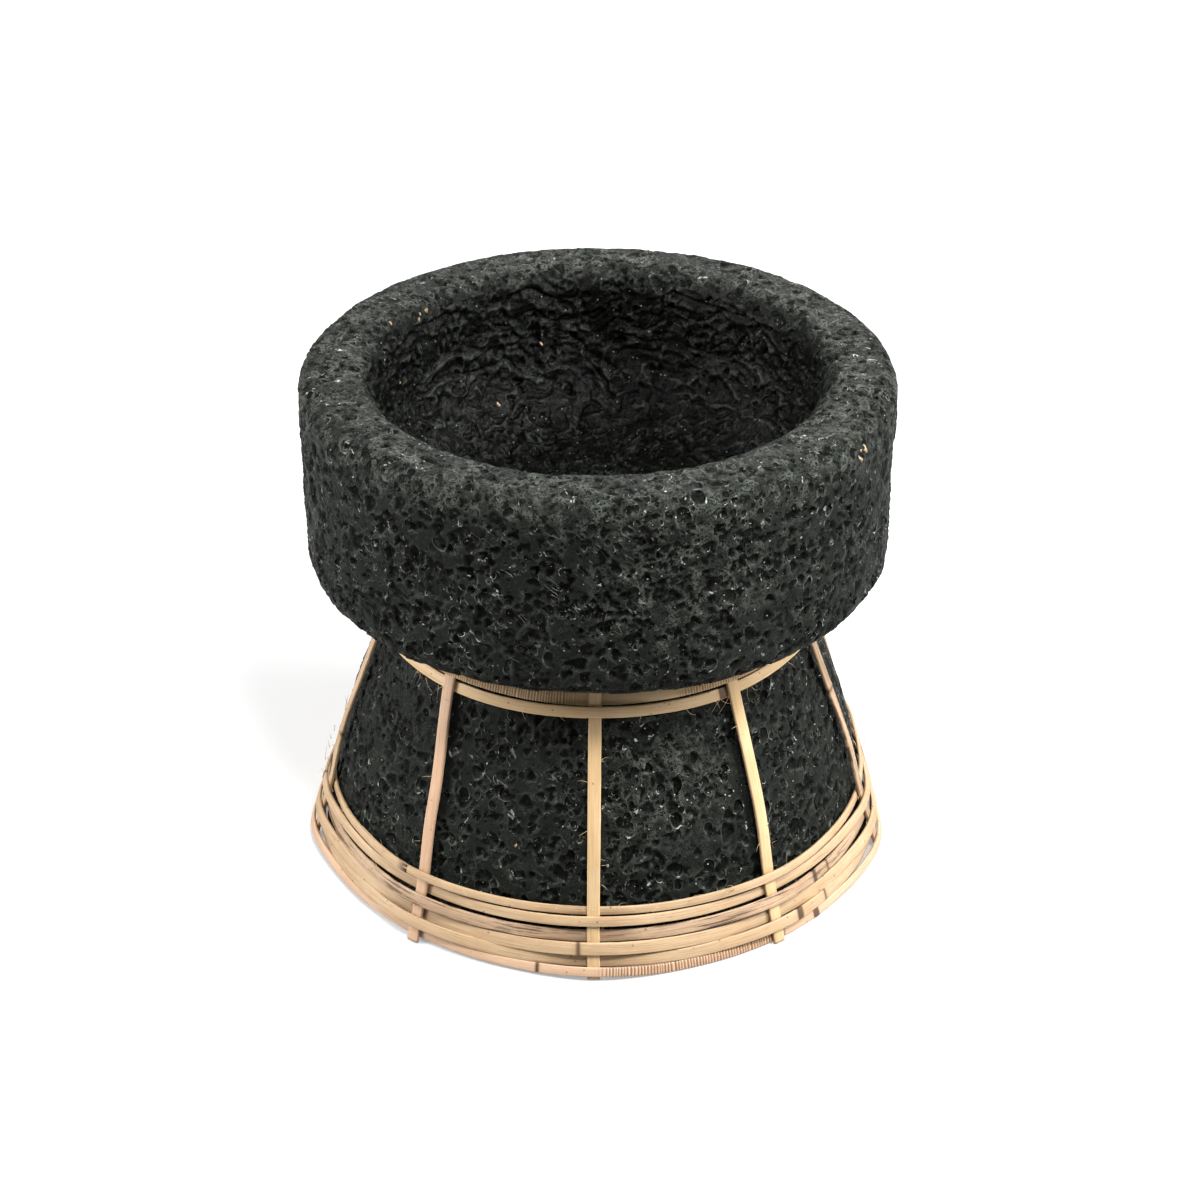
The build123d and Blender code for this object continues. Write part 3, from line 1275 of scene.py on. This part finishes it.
    def relief(self, zone: dict[str, np.ndarray]) -> np.ndarray:
        """Work out how far the surface stands out from the turned shape.

        Args:
            zone: the rows' shares in each zone.

        Returns:
            The height at each grid point, along the surface's normal.
        """
        noise = LatticeNoise(self.seed)
        other = LatticeNoise(self.seed + 1)
        spot = self.surface
        (wide, wide_size), (middling, middling_size), (fine, fine_size) = self.lumps
        lump = wide * noise.layers(spot, wide_size, 2) + middling * noise.at(spot + 50, middling_size)
        lump = lump + fine * other.at(spot, fine_size)
        (coarse, coarse_size), (fine, fine_size) = self.roughs
        rough = coarse * noise.at(spot, coarse_size) + fine * other.at(spot, fine_size)
        shelf = other.layers(spot + 80, 13, 3, 0.6)
        ledge = self.ledge_height * (
            ease_step(0.14, 0.18, shelf) - ease_step(-0.2, -0.24, shelf) * 0.8
        )
        worms = self.worm_height * ease_step(0.3, 0.0, np.abs(noise.layers(spot + 30, 3.4, 2)))
        depth, lips = self.pits()
        inside, rim = zone["inside"], zone["rim"]
        outside = np.clip(1 - inside - rim, 0, 1)
        shape = outside * (lump + rough + ledge)
        shape = shape + rim * (0.6 * lump + 0.5 * rough + worms + 0.3 * ledge)
        shape = shape + inside * (0.6 * lump + self.bowl_folds() + 0.4 * rough)
        shape = shape + (depth + lips) * (outside + 0.6 * rim + 0.75 * inside)
        tucked = np.minimum(shape * 0.85 - self.inset_on_foot, 0.1)
        shape = shape * (1 - zone["cage"]) + tucked * zone["cage"]
        return shape * (1 - 0.85 * zone["under"]) - 0.1 * zone["under"]

    def bedded_grains(self, surface: np.ndarray) -> bpy.types.Object:
        """Make the pale grains, half sunk into the stone, as one mesh.

        Args:
            surface: the stone's points on the grid.

        Returns:
            The grains' object.
        """
        noise = LatticeNoise(self.seed + 9)
        rings, sides, cap, length = 7, 10, 0.06, 1.5
        tip = np.linspace(cap, math.pi - cap, rings)[:, None]
        turn = (np.arange(sides) / sides * TURN)[None, :]
        across, ahead, up = np.sin(tip) * np.cos(turn), np.sin(tip) * np.sin(turn), length * np.cos(tip)
        ball = np.stack(np.broadcast_arrays(across, ahead, up), -1)
        number = np.arange(rings * sides).reshape(rings, sides)
        beside = np.roll(number, -1, axis=1)
        walls = np.stack([number[:-1], number[1:], beside[1:], beside[:-1]], -1).reshape(-1, 4)
        caps = [
            np.array([edge[0], edge[k], edge[k + 1], edge[k + 2]])
            for edge in (number[0], number[-1, ::-1])
            for k in range(1, sides - 2, 2)
        ]
        faces = np.concatenate([walls, np.array(caps)])
        flat = surface.reshape(-1, 3)
        points, quads = [], []
        for count, (x, y, z, radius) in enumerate(self.grains):
            nearest = int(np.argmin(np.sum((flat - np.array([x, y, z])) ** 2, -1)))
            row, column = divmod(nearest, self.columns)
            outward = around_axis(self.normals[row, 0], self.azimuth[column], self.normals[row, 1])
            middle = flat[nearest] - self.grain_sink * radius * outward
            rough = 1 + 0.5 * noise.at(ball * 1.2 + 5 * count, 0.8)[..., None]
            lean = np.array([0.5 * math.sin(3 * count), 0.3 * math.cos(5 * count), 0.0])
            tilted = ball + ball[..., 2:] * lean
            points.append((middle + radius * rough * tilted).reshape(-1, 3))
            quads.append(faces + count * number.size)
        piece = make_piece("stone_grains", np.concatenate(points), np.concatenate(quads))
        dress(piece, GrainFinish().material(), self.slot)
        return piece

    @staticmethod
    def crests(height: np.ndarray) -> np.ndarray:
        """Tell raised edges from hollows.

        Args:
            height: the relief on the grid.

        Returns:
            Values from -1 in a hollow to 1 on a crest.
        """
        soft = height
        for _ in range(7):
            soft = (np.roll(soft, 1, 1) + 2 * soft + np.roll(soft, -1, 1)) / 4
            padded = np.pad(soft, ((1, 1), (0, 0)), mode="edge")
            soft = (padded[:-2] + 2 * padded[1:-1] + padded[2:]) / 4
        return np.clip((height - soft) / 0.22, -1, 1)

    def build(self) -> bpy.types.Object:
        """Make the stone and dress it.

        Returns:
            The stone's object.
        """
        zone = self.zones()
        height = self.relief(zone)
        radius = self.rows[:, :1] + self.normals[:, :1] * height
        level = np.maximum(self.rows[:, 1:2] + self.normals[:, 1:2] * height, 0.0)
        points = around_axis(radius, self.azimuth[None, :], level)
        marks = {
            "crest": self.crests(height),
            "bowl": zone["inside"],
            "rim": zone["rim"],
            "slant": self.spots("slant"),
            "speckle": self.spots("speckle"),
        }
        stone = make_piece(
            "stone",
            np.concatenate([points.reshape(-1, 3), self.poles]),
            *skin_faces(*height.shape),
            {name: grid_values(values, height.shape) for name, values in marks.items()},
        )
        dress(stone, StoneFinish().material(), self.slot, self.node)
        self.bedded_grains(points)
        return stone


# ----------------------------------------------------------------------------------------------------
# Rattan
# ----------------------------------------------------------------------------------------------------


@dataclass
class Reed:
    """One flat reed, drawn along a line. Millimetres."""

    name: str
    width: float
    thickness: float
    tone: ReedTone
    seed: int
    scars: tuple[float, ...] = ()
    wrinkled: tuple[tuple[float, float], ...] = ()
    wrinkle_pitch: float = 0.95
    stained_end: float = 0.0
    knots: tuple[float, ...] = ()
    sides: int = 18
    scar_width: float = 0.55
    scar_swell: float = 0.22
    scar_dip: float = 0.16
    knot_swell: float = 0.25
    knot_reach: float = 1.5
    ridge_height: float = 0.2
    ridge_fade: float = 9.0

    def section(self) -> np.ndarray:
        """Work out the reed's cross-section: a crowned skin, a flatter back and soft edges.

        Returns:
            Points (across, out) for a reed of width 2 and thickness 2.
        """
        turn = (np.arange(self.sides) + 0.5) / self.sides * TURN
        across = np.sign(np.cos(turn)) * np.abs(np.cos(turn)) ** 0.3
        out = np.sign(np.sin(turn)) * np.abs(np.sin(turn)) ** 0.45
        crown = np.where(out > 0, 1 - 0.14 * across**2, 1 - 0.05 * across**2)
        return np.stack([across, out * crown], -1)

    def draw(self, line: np.ndarray, outward: np.ndarray, thin: np.ndarray) -> bpy.types.Object:
        """Draw the reed along a line.

        Args:
            line: the points of its middle, evenly spaced.
            outward: the direction that its skin faces at each.
            thin: its thickness at each, as a share of the whole.

        Returns:
            The reed's object.
        """
        noise = LatticeNoise(self.seed)
        along = lengths_along(line)
        track = noise_track(along, self.seed * 7.7)
        ahead = unit(np.gradient(line, axis=0))
        outward = unit(outward - ahead * np.sum(outward * ahead, -1, keepdims=True))
        sideways = np.cross(outward, ahead)
        section = self.section()
        width = self.width / 2 * (1 + 0.035 * noise.layers(track, 40, 3))
        thick = self.thickness / 2 * thin * (1 + 0.06 * noise.at(track + 9, 22))
        scar, swell = np.zeros_like(along), np.zeros_like(along)
        for place in self.scars:
            scar = np.maximum(scar, bell(along, place, self.scar_width))
            swell = swell + self.scar_swell * bell(along, place - 0.9, 0.9)
            swell = swell - self.scar_dip * bell(along, place + 0.5, 0.45)
        for place in self.knots:
            swell = swell + self.knot_swell * bell(along, place, self.knot_reach)
        ribbed = np.zeros_like(along)
        for start, end in self.wrinkled:
            grown = ease_step(start, start + self.ridge_fade, along)
            ribbed = np.maximum(ribbed, grown * ease_step(end, end - self.ridge_fade, along))
        beat = along / self.wrinkle_pitch + 0.35 * noise.at(track + 31, 2.4)
        ridge = ribbed * np.cos(TURN * beat)
        across = section[None, :, 0] * (width + 0.06 * scar)[:, None]
        edge = noise.at(
            np.stack(np.broadcast_arrays(along[:, None], section[None, :, 0] * 40, self.seed), -1), 5.0
        )
        across = across * (1 + 0.018 * edge)
        out = section[None, :, 1] * thick[:, None]
        skin = ease_step(-0.2, 0.7, section[None, :, 1])
        out = out + skin * (swell[:, None] + self.ridge_height * ridge[:, None])
        points = (
            line[:, None] + across[..., None] * sideways[:, None] + out[..., None] * outward[:, None]
        )
        left = along[-1] - along
        stained = ease_step(self.stained_end, 0.0, left) if self.stained_end else np.zeros_like(along)
        for place in self.knots:
            ragged = 0.35 * noise.at(track + 55, 1.5)
            blotch = 3 * (bell(along, place, self.knot_reach) - 0.4 + ragged)
            stained = np.maximum(stained, np.clip(blotch, 0, 0.85))
        place = np.stack(
            [
                grid_values(along[:, None] * MM + self.seed * 0.37, across.shape),
                grid_values(across * MM + self.seed * 0.011, across.shape),
                grid_values(np.full((1, 1), float(self.seed)), across.shape),
            ],
            -1,
        )
        # The furrows between the cross ridges, which the finish darkens as painted shade.
        groove_shade_mask = ribbed * ease_step(0.3, -1.0, np.cos(TURN * beat))
        marks = {"scar": scar, "cut": stained, "groove_shade": groove_shade_mask}
        values = {name: grid_values(mark[:, None], across.shape) for name, mark in marks.items()}
        shell = np.concatenate([points.reshape(-1, 3), line[[0, -1]]])
        return make_piece(self.name, shell, *skin_faces(*across.shape), values | {"reed": place})


@dataclass(frozen=True)
class RibNotes:
    """How one rib differs from the others: its tone, where it stands, and its node scars."""

    tone: ReedTone
    drift: float = 0.0
    scars: tuple[float, ...] = ()
    head_drift: float = 0.0
    foot_drift: float = 0.0


@dataclass(frozen=True)
class HoopNotes:
    """How one hoop is made: whether it passes over the first rib, its tone, and where its ends lap."""

    over_first: bool
    tone: ReedTone
    lap_azimuth: float
    scars: tuple[float, ...] = ()
    wrinkled: tuple[tuple[float, float], ...] = ()
    wrinkle_pitch: float = 0.95
    stained_end: float = 0.0
    shift: float = 0.0
    left_rise: float = 0.0
    slim: float = 1.0
    knots: tuple[float, ...] = ()


@dataclass
class Cage:
    """The rattan cage: ten upright ribs, two hoops at the neck and six round the base. Millimetres."""

    rib_width: float = 4.8
    rib_thickness: float = 1.6
    hoop_thickness: float = 1.3
    clearance: float = 0.15
    standoff: float = 2.5
    waist: tuple[float, float] = (97.8, 49.0)
    neck: tuple[float, float] = (75.5, 109.0)
    foot: float = 108.3
    skirt_height: float = 27.0
    hem_radius: float = 112.9
    hem_height: float = 0.4
    lap_length: float = 34.0
    rise_length: float = 15.0
    ride_up: float = 0.58
    left_azimuth: float = 315.0
    left_spread: float = 24.0
    floor_gap: float = 0.3
    head_gap: float = 0.1
    end_thinning: float = 0.62
    lean_in: float = 1.15
    wander: float = 0.14
    wander_length: float = 48.0
    rib_wander: float = 0.25
    rib_wander_length: float = 45.0
    rib_step: float = 0.8
    hoop_step: float = 0.7
    ridged_step: float = 0.3
    store: ReedStore = field(default_factory=ReedStore)
    ribs: tuple[RibNotes, ...] = (
        RibNotes(ReedTone.STRAW, -0.6),
        RibNotes(ReedTone.STRAW, 1.2),
        RibNotes(ReedTone.SMOKED, 2.4, (38.0,), foot_drift=1.8),
        RibNotes(ReedTone.TAN, 4.0),
        RibNotes(ReedTone.STRAW, 1.5, (71.0,)),
        RibNotes(ReedTone.BLUSH, 0.6),
        RibNotes(ReedTone.TAN, -2.4),
        RibNotes(ReedTone.STRAW, -6.5),
        RibNotes(ReedTone.TAN, -8.0, (64.0,)),
        RibNotes(ReedTone.BLUSH, -1.9, head_drift=-3.4),
    )
    hoops: dict[str, HoopNotes] = field(
        default_factory=lambda: {
            "neck_hoop_upper": HoopNotes(
                False, ReedTone.STRAW, 336, wrinkled=((60, 535),), wrinkle_pitch=1.05, shift=-1.5
            ),
            "neck_hoop_lower": HoopNotes(
                True, ReedTone.STRAW, 12, scars=(260.0,), shift=-1.5, slim=0.88, knots=(34, 190)
            ),
            "base_hoop_1": HoopNotes(False, ReedTone.TAN, 300, stained_end=7.0, shift=-0.4),
            "base_hoop_2": HoopNotes(True, ReedTone.TAN, 98, scars=(330.0,), shift=-0.7),
            "base_hoop_3": HoopNotes(
                False, ReedTone.SMOKED, 230, scars=(347.0,), shift=-0.35, knots=(49, 140)
            ),
            "base_hoop_4": HoopNotes(
                True, ReedTone.TAN, 170, scars=(120.0, 355.0), shift=-0.6, left_rise=0.5, slim=1.06
            ),
            "base_hoop_5": HoopNotes(
                False, ReedTone.TAN, 275, scars=(263.0,), left_rise=1.0, slim=1.06, knots=(42, 205)
            ),
            "base_hoop_6": HoopNotes(
                True,
                ReedTone.BLUSH,
                128,
                scars=(430.0, 528.0),
                wrinkled=((450, 530),),
                wrinkle_pitch=1.2,
                left_rise=1.8,
                slim=1.06,
                knots=(47,),
            ),
        }
    )

    def __post_init__(self) -> None:
        """Lay out the ribs' own line and their places round the foot."""
        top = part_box("rib_01")[1].z / MM - self.head_gap
        rise = (top - self.waist[1]) / (self.neck[1] - self.waist[1])
        top_radius = self.waist[0] + rise * (self.neck[0] - self.waist[0]) + self.standoff
        skirt = self.foot + self.skirt_height / self.waist[1] * (self.waist[0] - self.foot) + self.standoff
        corners = (
            (top_radius, top),
            (self.waist[0] + self.standoff, self.waist[1]),
            (skirt, self.skirt_height),
            (self.hem_radius, self.hem_height),
        )
        self.line = Outline(corners, (150, 60)).bends()
        self.spacing = 360 / len(self.ribs)
        drifts = [notes.drift for notes in self.ribs]
        self.azimuths = np.array([number * self.spacing + drift for number, drift in enumerate(drifts)])

    def radius_at(self, height: np.ndarray) -> np.ndarray:
        """Give the radius of the ribs' middle line at a height."""
        return np.interp(height, self.line[::-1, 1], self.line[::-1, 0])

    def lift(self, azimuth: np.ndarray, level: float, over_first: bool) -> np.ndarray:
        """Say how far a hoop has risen from the stone to pass over a rib.

        Args:
            azimuth: the places to look at, in degrees.
            level: the hoop's radius.
            over_first: whether it passes over the first rib, and so over every second one.

        Returns:
            The share of the rise, from 0 to 1, at each place.
        """
        risen = np.zeros_like(azimuth)
        for place in self.azimuths[0 if over_first else 1 :: 2]:
            away = np.radians(turned_from(azimuth, place)) * level
            risen = risen + bell(away, 0, self.rise_length)
        return risen

    def rib(self, number: int) -> bpy.types.Object:
        """Make one rib and dress it.

        Args:
            number: the rib's number, from 0.

        Returns:
            The rib's object.
        """
        notes = self.ribs[number]
        name = f"rib_{number + 1:02d}"
        along = lengths_along(self.line)
        wanted = np.linspace(0, along[-1], int(along[-1] / self.rib_step))
        run = read_line(self.line, along, wanted)
        noise = LatticeNoise(400 + number)
        track = noise_track(wanted)
        sway = notes.head_drift * ease_step(wanted[-1] / 2, 0, wanted)
        sway = sway + notes.foot_drift * ease_step(wanted[-1] / 2, wanted[-1], wanted)
        sway = sway + self.rib_wander * noise.at(track, self.rib_wander_length)
        azimuth = np.radians(self.azimuths[number] + sway)
        line = around_axis(run[:, 0], azimuth, run[:, 1])
        slope = unit(np.gradient(run, axis=0))
        outward = around_axis(-slope[:, 1], azimuth, slope[:, 0])
        reed = Reed(
            f"rattan_{name}", self.rib_width, self.rib_thickness, notes.tone, 20 + number, notes.scars
        )
        piece = reed.draw(line, outward, np.ones_like(wanted))
        dress(piece, self.store.material(notes.tone), "rattan_rib", name)
        return piece

    def hoop(self, name: str, number: int) -> bpy.types.Object:
        """Make one hoop, whose two ends lie over each other, and dress it.

        Args:
            name: the hoop's node.
            number: its number, for the random grain.

        Returns:
            The hoop's object.
        """
        notes = self.hoops[name]
        low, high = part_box(name)
        middle = (low.z + high.z) / 2 / MM
        level = float(self.radius_at(np.array(middle)))
        nearby = self.radius_at(np.array([middle - 1, middle + 1]))
        flare = math.atan2(nearby[0] - nearby[1], 2)
        width = ((high.z - low.z) / MM - self.hoop_thickness * math.sin(flare)) / math.cos(flare)
        width *= notes.slim
        lap = math.degrees(self.lap_length / level)
        step = self.ridged_step if notes.wrinkled else self.hoop_step
        count = int((360 + lap) / 360 * TURN * level / step)
        azimuth = notes.lap_azimuth + np.linspace(0, 360 + lap, count)
        along = np.radians(azimuth - azimuth[0]) * level
        swing = ((self.rib_thickness + self.hoop_thickness) / 2 + self.clearance) / math.cos(flare)
        wave = 2 * self.lift(azimuth, level, notes.over_first) - 1
        noise = LatticeNoise(700 + number)
        track = noise_track(along)
        left = bell(turned_from(azimuth, self.left_azimuth), 0, self.left_spread)
        height = middle + notes.shift + notes.left_rise * left + self.ride_up * swing * wave
        height = height + self.wander * noise.at(track, self.wander_length)
        height = np.maximum(height, width / 2 + self.floor_gap)
        start = ease_step(self.lap_length, 0, along)
        end = ease_step(along[-1] - self.lap_length, along[-1], along)
        thin = 1 - self.end_thinning * (start + end)
        layer = self.hoop_thickness * self.end_thinning / 2 * (end - start)
        radius = self.radius_at(height) + swing * wave + layer
        line = around_axis(radius, np.radians(azimuth), height)
        tilt = flare * self.lean_in
        outward = around_axis(np.full_like(azimuth, math.cos(tilt)), np.radians(azimuth), math.sin(tilt))
        reed = Reed(
            f"rattan_{name}",
            width,
            self.hoop_thickness,
            notes.tone,
            50 + number,
            notes.scars,
            notes.wrinkled,
            notes.wrinkle_pitch,
            notes.stained_end,
            tuple(math.radians((turn - notes.lap_azimuth) % 360) * level for turn in notes.knots),
        )
        piece = reed.draw(line, outward, thin)
        dress(piece, self.store.material(notes.tone), "rattan_hoop", name)
        return piece

    def build(self) -> list[bpy.types.Object]:
        """Make the whole cage.

        Returns:
            Its pieces.
        """
        ribs = [self.rib(number) for number in range(len(self.ribs))]
        hoops = [self.hoop(name, number) for number, name in enumerate(self.hoops)]
        return [*ribs, *hoops, Whiskers(self).build()]


@dataclass
class Whiskers:
    """Loose curled hairs at the edges of the reeds, all in one mesh. Millimetres."""

    cage: Cage
    edges: tuple[tuple[str, bool, int], ...] = (
        ("base_hoop_1", True, 70),
        ("neck_hoop_lower", False, 40),
        ("base_hoop_3", True, 20),
    )
    on_ribs: int = 70
    radius: float = 0.12
    standoff: float = 1.2
    rings: int = 12
    sides: int = 4
    seed: int = 77
    drift_out: float = 1.2
    edge_inset: float = 1.5
    edge_lean: float = 2.4
    edge_curl: float = 4.5
    edge_lengths: tuple[float, float] = (2.0, 6.0)
    rib_lengths: tuple[float, float] = (1.2, 3.0)
    rib_heights: tuple[float, float] = (25.0, 80.0)
    rib_leans: tuple[float, float] = (0.5, 1.6)
    right_share: float = 0.6

    def hair(self, azimuth: float, height: float, lean: float, length: float, curl: float) -> np.ndarray:
        """Work out the line of one hair, curled in the plane of the cage's wall.

        Args:
            azimuth: where it starts, in radians.
            height: where it starts.
            lean: which way it sets out, in radians from straight up.
            length: its length.
            curl: how far it turns on its way, in radians.

        Returns:
            The points of its middle.
        """
        share = np.linspace(0, 1, self.rings)
        heading = lean + curl * share
        step = length / (self.rings - 1)
        across = np.cumsum(np.sin(heading)) * step
        up = np.maximum(height + np.cumsum(np.cos(heading)) * step, 2 * self.radius)
        level = self.cage.radius_at(np.array(height))
        out = self.cage.radius_at(up) + self.standoff + self.drift_out * share
        return around_axis(out, azimuth + across / level, up)

    def tube(self, line: np.ndarray) -> np.ndarray:
        """Work out the rings of points of a thin tapered tube.

        Args:
            line: the points of its middle.

        Returns:
            A ring of points for each point of the line.
        """
        turn = np.arange(self.sides) / self.sides * TURN
        ahead = unit(np.gradient(line, axis=0))
        first = unit(np.cross(ahead, line * np.array([1.0, 1.0, 0.0])))
        second = np.cross(ahead, first)
        thick = self.radius * np.linspace(1, 0.3, len(line))[:, None, None]
        ring = np.cos(turn)[:, None] * first[:, None] + np.sin(turn)[:, None] * second[:, None]
        return line[:, None] + thick * ring

    def build(self) -> bpy.types.Object:
        """Make the hairs.

        Returns:
            Their object.
        """
        random = np.random.default_rng(self.seed)
        lines = []
        shortest, more = self.edge_lengths
        for name, upper, count in self.edges:
            low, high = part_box(name)
            height = (high.z - self.edge_inset * MM if upper else low.z) / MM
            for _ in range(count):
                lean = (random.random() - 0.5) * self.edge_lean + (0 if upper else math.pi)
                length = shortest + more * random.random() ** 2
                curl = (random.random() - 0.5) * self.edge_curl
                lines.append(self.hair(random.random() * TURN, height, lean, length, curl))
        shortest, more = self.rib_lengths
        for _ in range(self.on_ribs):
            rib = int(random.random() * len(self.cage.ribs))
            side = 1 if random.random() < self.right_share else -1
            height = self.rib_heights[0] + self.rib_heights[1] * random.random()
            level = float(self.cage.radius_at(np.array(height)))
            azimuth = math.radians(self.cage.azimuths[rib]) + side * self.cage.rib_width / 2 / level
            lean = side * (self.rib_leans[0] + self.rib_leans[1] * random.random())
            length = shortest + more * random.random() ** 2
            lines.append(self.hair(azimuth, height, lean, length, side * random.random()))
        points = np.concatenate([self.tube(line).reshape(-1, 3) for line in lines])
        size = self.rings * self.sides
        walls = skin_faces(self.rings, self.sides)[0]
        caps = np.array([np.arange(self.sides)[::-1], np.arange(size - self.sides, size)])
        faces = np.concatenate([walls, caps])
        starts = np.arange(len(lines)) * size
        quads = (faces[None] + starts[:, None, None]).reshape(-1, 4)
        piece = make_piece("rattan_whiskers", points, quads)
        dress(piece, self.cage.store.material(ReedTone.STRAW), "rattan_hoop")
        return piece


# ----------------------------------------------------------------------------------------------------
# Studio
# ----------------------------------------------------------------------------------------------------


@dataclass(frozen=True)
class Lamp:
    """One soft square light: where it hangs, the length of its side, and its power in watts."""

    name: str
    place: tuple[float, float, float]
    size: float
    power: float


@dataclass
class Studio:
    """A plain pale floor, soft lights, and the camera. Metres."""

    aim_height: float = 0.0957
    aim_side: float = 0.001
    elevation: float = 30.33
    distance: float = 1.136
    lens: float = 88.7
    sensor_width: float = 36.0
    floor_size: float = 12.0
    floor_colour: Colour = (0.42, 0.42, 0.42)
    floor_glow: Colour = (0.35, 0.35, 0.35)
    floor_roughness: float = 0.9
    sky: float = 0.2
    exposure: float = 0.15
    gamma: float = 0.82
    lamps: tuple[Lamp, ...] = (
        Lamp("key_light", (1.2, -0.25, 1.0), 0.8, 36),
        Lamp("spark_light", (0.3, -0.8, 1.4), 0.3, 19),
        Lamp("back_light", (0.2, 1.3, 1.1), 0.9, 16),
        Lamp("left_light", (-1.35, -0.1, 0.75), 0.6, 26),
    )

    def floor(self) -> bpy.types.Object:
        """Make the floor.

        Returns:
            The floor's object.
        """
        half = self.floor_size / 2 / MM
        corners = np.array([[-half, -half, 0], [half, -half, 0], [half, half, 0], [-half, half, 0]])
        floor = make_piece("studio_floor", corners, np.array([[0, 1, 2, 3]]))
        material, sheet, shader = new_finish("pale_paper")
        place = sheet.add("TexCoord").outputs["Object"]
        tone = ToneDrift.place(
            sheet,
            Place=place,
            Colour=self.floor_colour,
            Other_Colour=tuple(0.985 * part for part in self.floor_colour),
            Patch_Scale=3.0,
            Strength=1.0,
        )
        sheet.tree.links.new(tone.outputs["Colour"], shader.inputs["Base Color"])
        shader.inputs["Roughness"].default_value = self.floor_roughness
        seen = sheet.add("LightPath").outputs["Is Camera Ray"]
        glow = sheet.blend(seen, (0.0, 0.0, 0.0), self.floor_glow)
        sheet.tree.links.new(glow, shader.inputs["Emission Color"])
        shader.inputs["Emission Strength"].default_value = 1.0
        floor.data.materials.append(material)
        return floor

    def light(self, lamp: Lamp) -> bpy.types.Object:
        """Hang one light so that it faces the object.

        Args:
            lamp: the light.

        Returns:
            The light's object.
        """
        data = bpy.data.lights.new(lamp.name, "AREA")
        data.shape = "SQUARE"
        data.size = lamp.size
        data.energy = lamp.power
        light = bpy.data.objects.new(lamp.name, data)
        light.location = lamp.place
        ahead = Vector((0, 0, self.aim_height)) - Vector(lamp.place)
        light.rotation_euler = ahead.to_track_quat("-Z", "Y").to_euler()
        bpy.context.scene.collection.objects.link(light)
        return light

    def camera(self) -> bpy.types.Object:
        """Set up the camera.

        Returns:
            The camera's object.
        """
        data = bpy.data.cameras.new("studio_camera")
        data.lens = self.lens
        data.sensor_width = self.sensor_width
        camera = bpy.data.objects.new("studio_camera", data)
        tip = math.radians(self.elevation)
        back = Vector((0, -math.cos(tip), math.sin(tip)))
        camera.location = Vector((self.aim_side, 0, self.aim_height)) + back * self.distance
        camera.rotation_euler = (-back).to_track_quat("-Z", "Y").to_euler()
        bpy.context.scene.collection.objects.link(camera)
        bpy.context.scene.camera = camera
        return camera

    def build(self) -> None:
        """Set up the whole studio."""
        self.floor()
        for lamp in self.lamps:
            self.light(lamp)
        self.camera()
        world = bpy.data.worlds.new("pale_room")
        world.use_nodes = True
        sky = world.node_tree.nodes["Background"]
        sky.inputs["Color"].default_value = (1.0, 1.0, 1.0, 1.0)
        sky.inputs["Strength"].default_value = self.sky
        bpy.context.scene.world = world
        view = bpy.context.scene.view_settings
        view.view_transform = "Standard"
        view.exposure = self.exposure
        view.gamma = self.gamma


def main() -> None:
    """Build the molcajete and its studio."""
    logging.basicConfig(level=logging.INFO, format="%(name)s: %(message)s")
    Studio().build()
    StoneBody().build()
    Cage().build()


if __name__ == "__main__":
    main()
